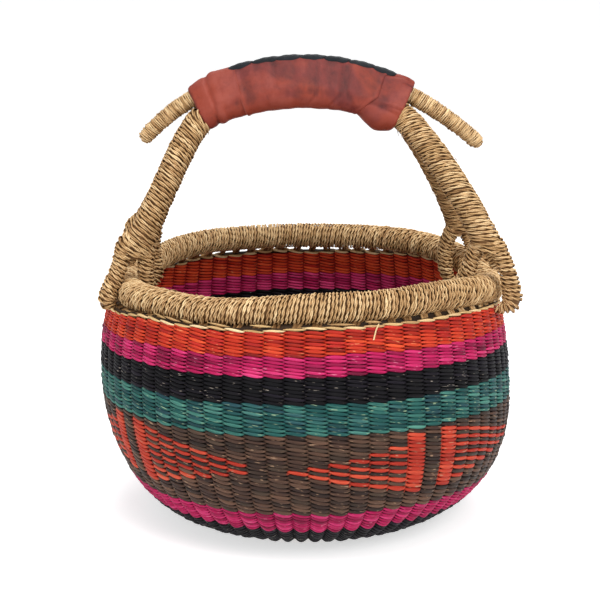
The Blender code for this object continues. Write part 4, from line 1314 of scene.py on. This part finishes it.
def build_lacing(mats):
    """Black leather lace that whips the cover's top edges together."""
    bend = HORN_RADIUS + GAP + 0.0018 + 0.0009
    low, high = math.radians(-18), math.radians(22.5)
    count = 7
    pitch = (high - low) / count
    steps, across = 26, 15
    s = np.linspace(0, 1, steps)[:, None]
    w = np.linspace(-1, 1, across)[None]
    points = []
    quads = []
    for number in range(count):
        rng = seeded(900 + number)
        start = low + pitch * (number - 0.05 + rng.uniform(-0.05, 0.05))
        end = start + pitch * (1.12 + rng.uniform(-0.05, 0.05))
        taper = (1 - (2 * s - 1) ** 4) ** 0.7
        place = -0.0022 + (0.0010 + 0.0044 * taper) * w
        angle = start + (end - start) * (s + 0.07 * w)
        arc = np.sin(s * math.pi) ** 0.5
        thick = 0.0003 + 0.0014 * arc * (1 - 0.8 * w ** 4) + 0.00015 * np.sin(s * 19 + number)
        thick = thick * (1 - w ** 8) - 0.0003 * w ** 8
        slope = np.arcsin(np.clip(place / bend, -0.95, 0.95))
        p = arch_point(angle, HORN_RISE + (bend + thick) * np.cos(slope))
        p = p + np.stack([0 * slope, (bend + thick) * np.sin(slope), 0 * slope], -1)
        i = np.arange(steps - 1)[:, None]
        j = np.arange(across - 1)[None]
        q = np.stack([i * across + j, i * across + j + 1, (i + 1) * across + j + 1,
                      (i + 1) * across + j], -1).reshape(-1, 4) + number * steps * across
        points.append(p.reshape(-1, 3))
        quads.append(q)
    points = np.concatenate(points)
    make_piece("visual_grip_lacing", points, np.concatenate(quads), mats["lace"],
               "black_leather", ("grip_lacing",), wear=np.zeros(len(points)))


# Studio

def build_studio():
    scene = bpy.context.scene
    floor_mesh = bpy.data.meshes.new("floor")
    reach = 40
    corners = [(-reach, -reach, 0), (reach, -reach, 0), (reach, reach, 0), (-reach, reach, 0)]
    floor_mesh.from_pydata(corners, [], [(0, 1, 2, 3)])
    floor = bpy.data.objects.new("floor", floor_mesh)
    scene.collection.objects.link(floor)
    material = bpy.data.materials.new("floor_paper")
    material.use_nodes = True
    tree = material.node_tree
    shader = tree.nodes["Principled BSDF"]
    output = tree.nodes["Material Output"]
    shader.inputs["Base Color"].default_value = (0.80, 0.80, 0.80, 1)
    shader.inputs["Roughness"].default_value = 0.9
    shader.inputs["Specular IOR Level"].default_value = 0.1
    glow = tree.nodes.new("ShaderNodeEmission")
    glow.inputs["Color"].default_value = (1, 1, 1, 1)
    glow.inputs["Strength"].default_value = 0.58
    add = tree.nodes.new("ShaderNodeAddShader")
    path = tree.nodes.new("ShaderNodeLightPath")
    seen = tree.nodes.new("ShaderNodeMath")
    seen.operation = "MAXIMUM"
    both = tree.nodes.new("ShaderNodeMath")
    both.operation = "MAXIMUM"
    mix = tree.nodes.new("ShaderNodeMixShader")
    tree.links.new(path.outputs["Is Camera Ray"], seen.inputs[0])
    tree.links.new(path.outputs["Is Glossy Ray"], seen.inputs[1])
    tree.links.new(seen.outputs[0], both.inputs[0])
    tree.links.new(path.outputs["Is Transmission Ray"], both.inputs[1])
    tree.links.new(shader.outputs[0], add.inputs[0])
    tree.links.new(glow.outputs[0], add.inputs[1])
    tree.links.new(both.outputs[0], mix.inputs[0])
    tree.links.new(shader.outputs[0], mix.inputs[1])
    tree.links.new(add.outputs[0], mix.inputs[2])
    tree.links.new(mix.outputs[0], output.inputs["Surface"])
    floor_mesh.materials.append(material)

    world = bpy.data.worlds.new("studio")
    scene.world = world
    world.use_nodes = True
    tree = world.node_tree
    back = tree.nodes["Background"]
    back.inputs["Color"].default_value = (0.97, 0.98, 1.0, 1)
    back.inputs["Strength"].default_value = 0.55
    white = tree.nodes.new("ShaderNodeBackground")
    white.inputs["Color"].default_value = (1, 1, 1, 1)
    white.inputs["Strength"].default_value = 1.0
    path = tree.nodes.new("ShaderNodeLightPath")
    mix = tree.nodes.new("ShaderNodeMixShader")
    tree.links.new(path.outputs["Is Camera Ray"], mix.inputs[0])
    tree.links.new(back.outputs[0], mix.inputs[1])
    tree.links.new(white.outputs[0], mix.inputs[2])
    tree.links.new(mix.outputs[0], tree.nodes["World Output"].inputs["Surface"])

    def softbox(name, place, aim, size, power, colour=(1, 1, 1)):
        data = bpy.data.lights.new(name, "AREA")
        data.shape = "SQUARE"
        data.size = size
        data.energy = power
        data.color = colour
        lamp = bpy.data.objects.new(name, data)
        scene.collection.objects.link(lamp)
        lamp.location = place
        lamp.rotation_euler = (Vector(aim) - Vector(place)).to_track_quat("-Z", "Y").to_euler()

    softbox("key", (1.3, -1.6, 1.9), (0, 0, 0.2), 1.3, 27, (1.0, 0.985, 0.96))
    softbox("top", (0.0, -0.7, 2.1), (0, 0.1, 0.15), 1.0, 17)
    softbox("fill", (-1.1, -2.0, 0.6), (0, 0, 0.2), 1.6, 12)
    softbox("back", (0.4, 1.8, 2.0), (0, 0, 0.25), 1.4, 22)


def build_camera():
    scene = bpy.context.scene
    data = bpy.data.cameras.new("photo_camera")
    data.sensor_width = 36
    data.lens = 1416 * 36 / 600
    camera = bpy.data.objects.new("photo_camera", data)
    scene.collection.objects.link(camera)
    down = math.radians(13.09)
    target = Vector((-0.0065, 0, 0.1949))
    camera.location = target + Vector((0, -math.cos(down), math.sin(down))) * 1.320
    camera.rotation_euler = (math.pi / 2 - down, 0, 0)
    scene.camera = camera
    scene.view_settings.view_transform = "Standard"


build_camera()
build_studio()
materials = make_materials()
build_bands(materials)
build_base(materials)
build_stakes(materials)
build_rim(materials)
build_legs(materials)
build_horns(materials)
build_leather(materials)
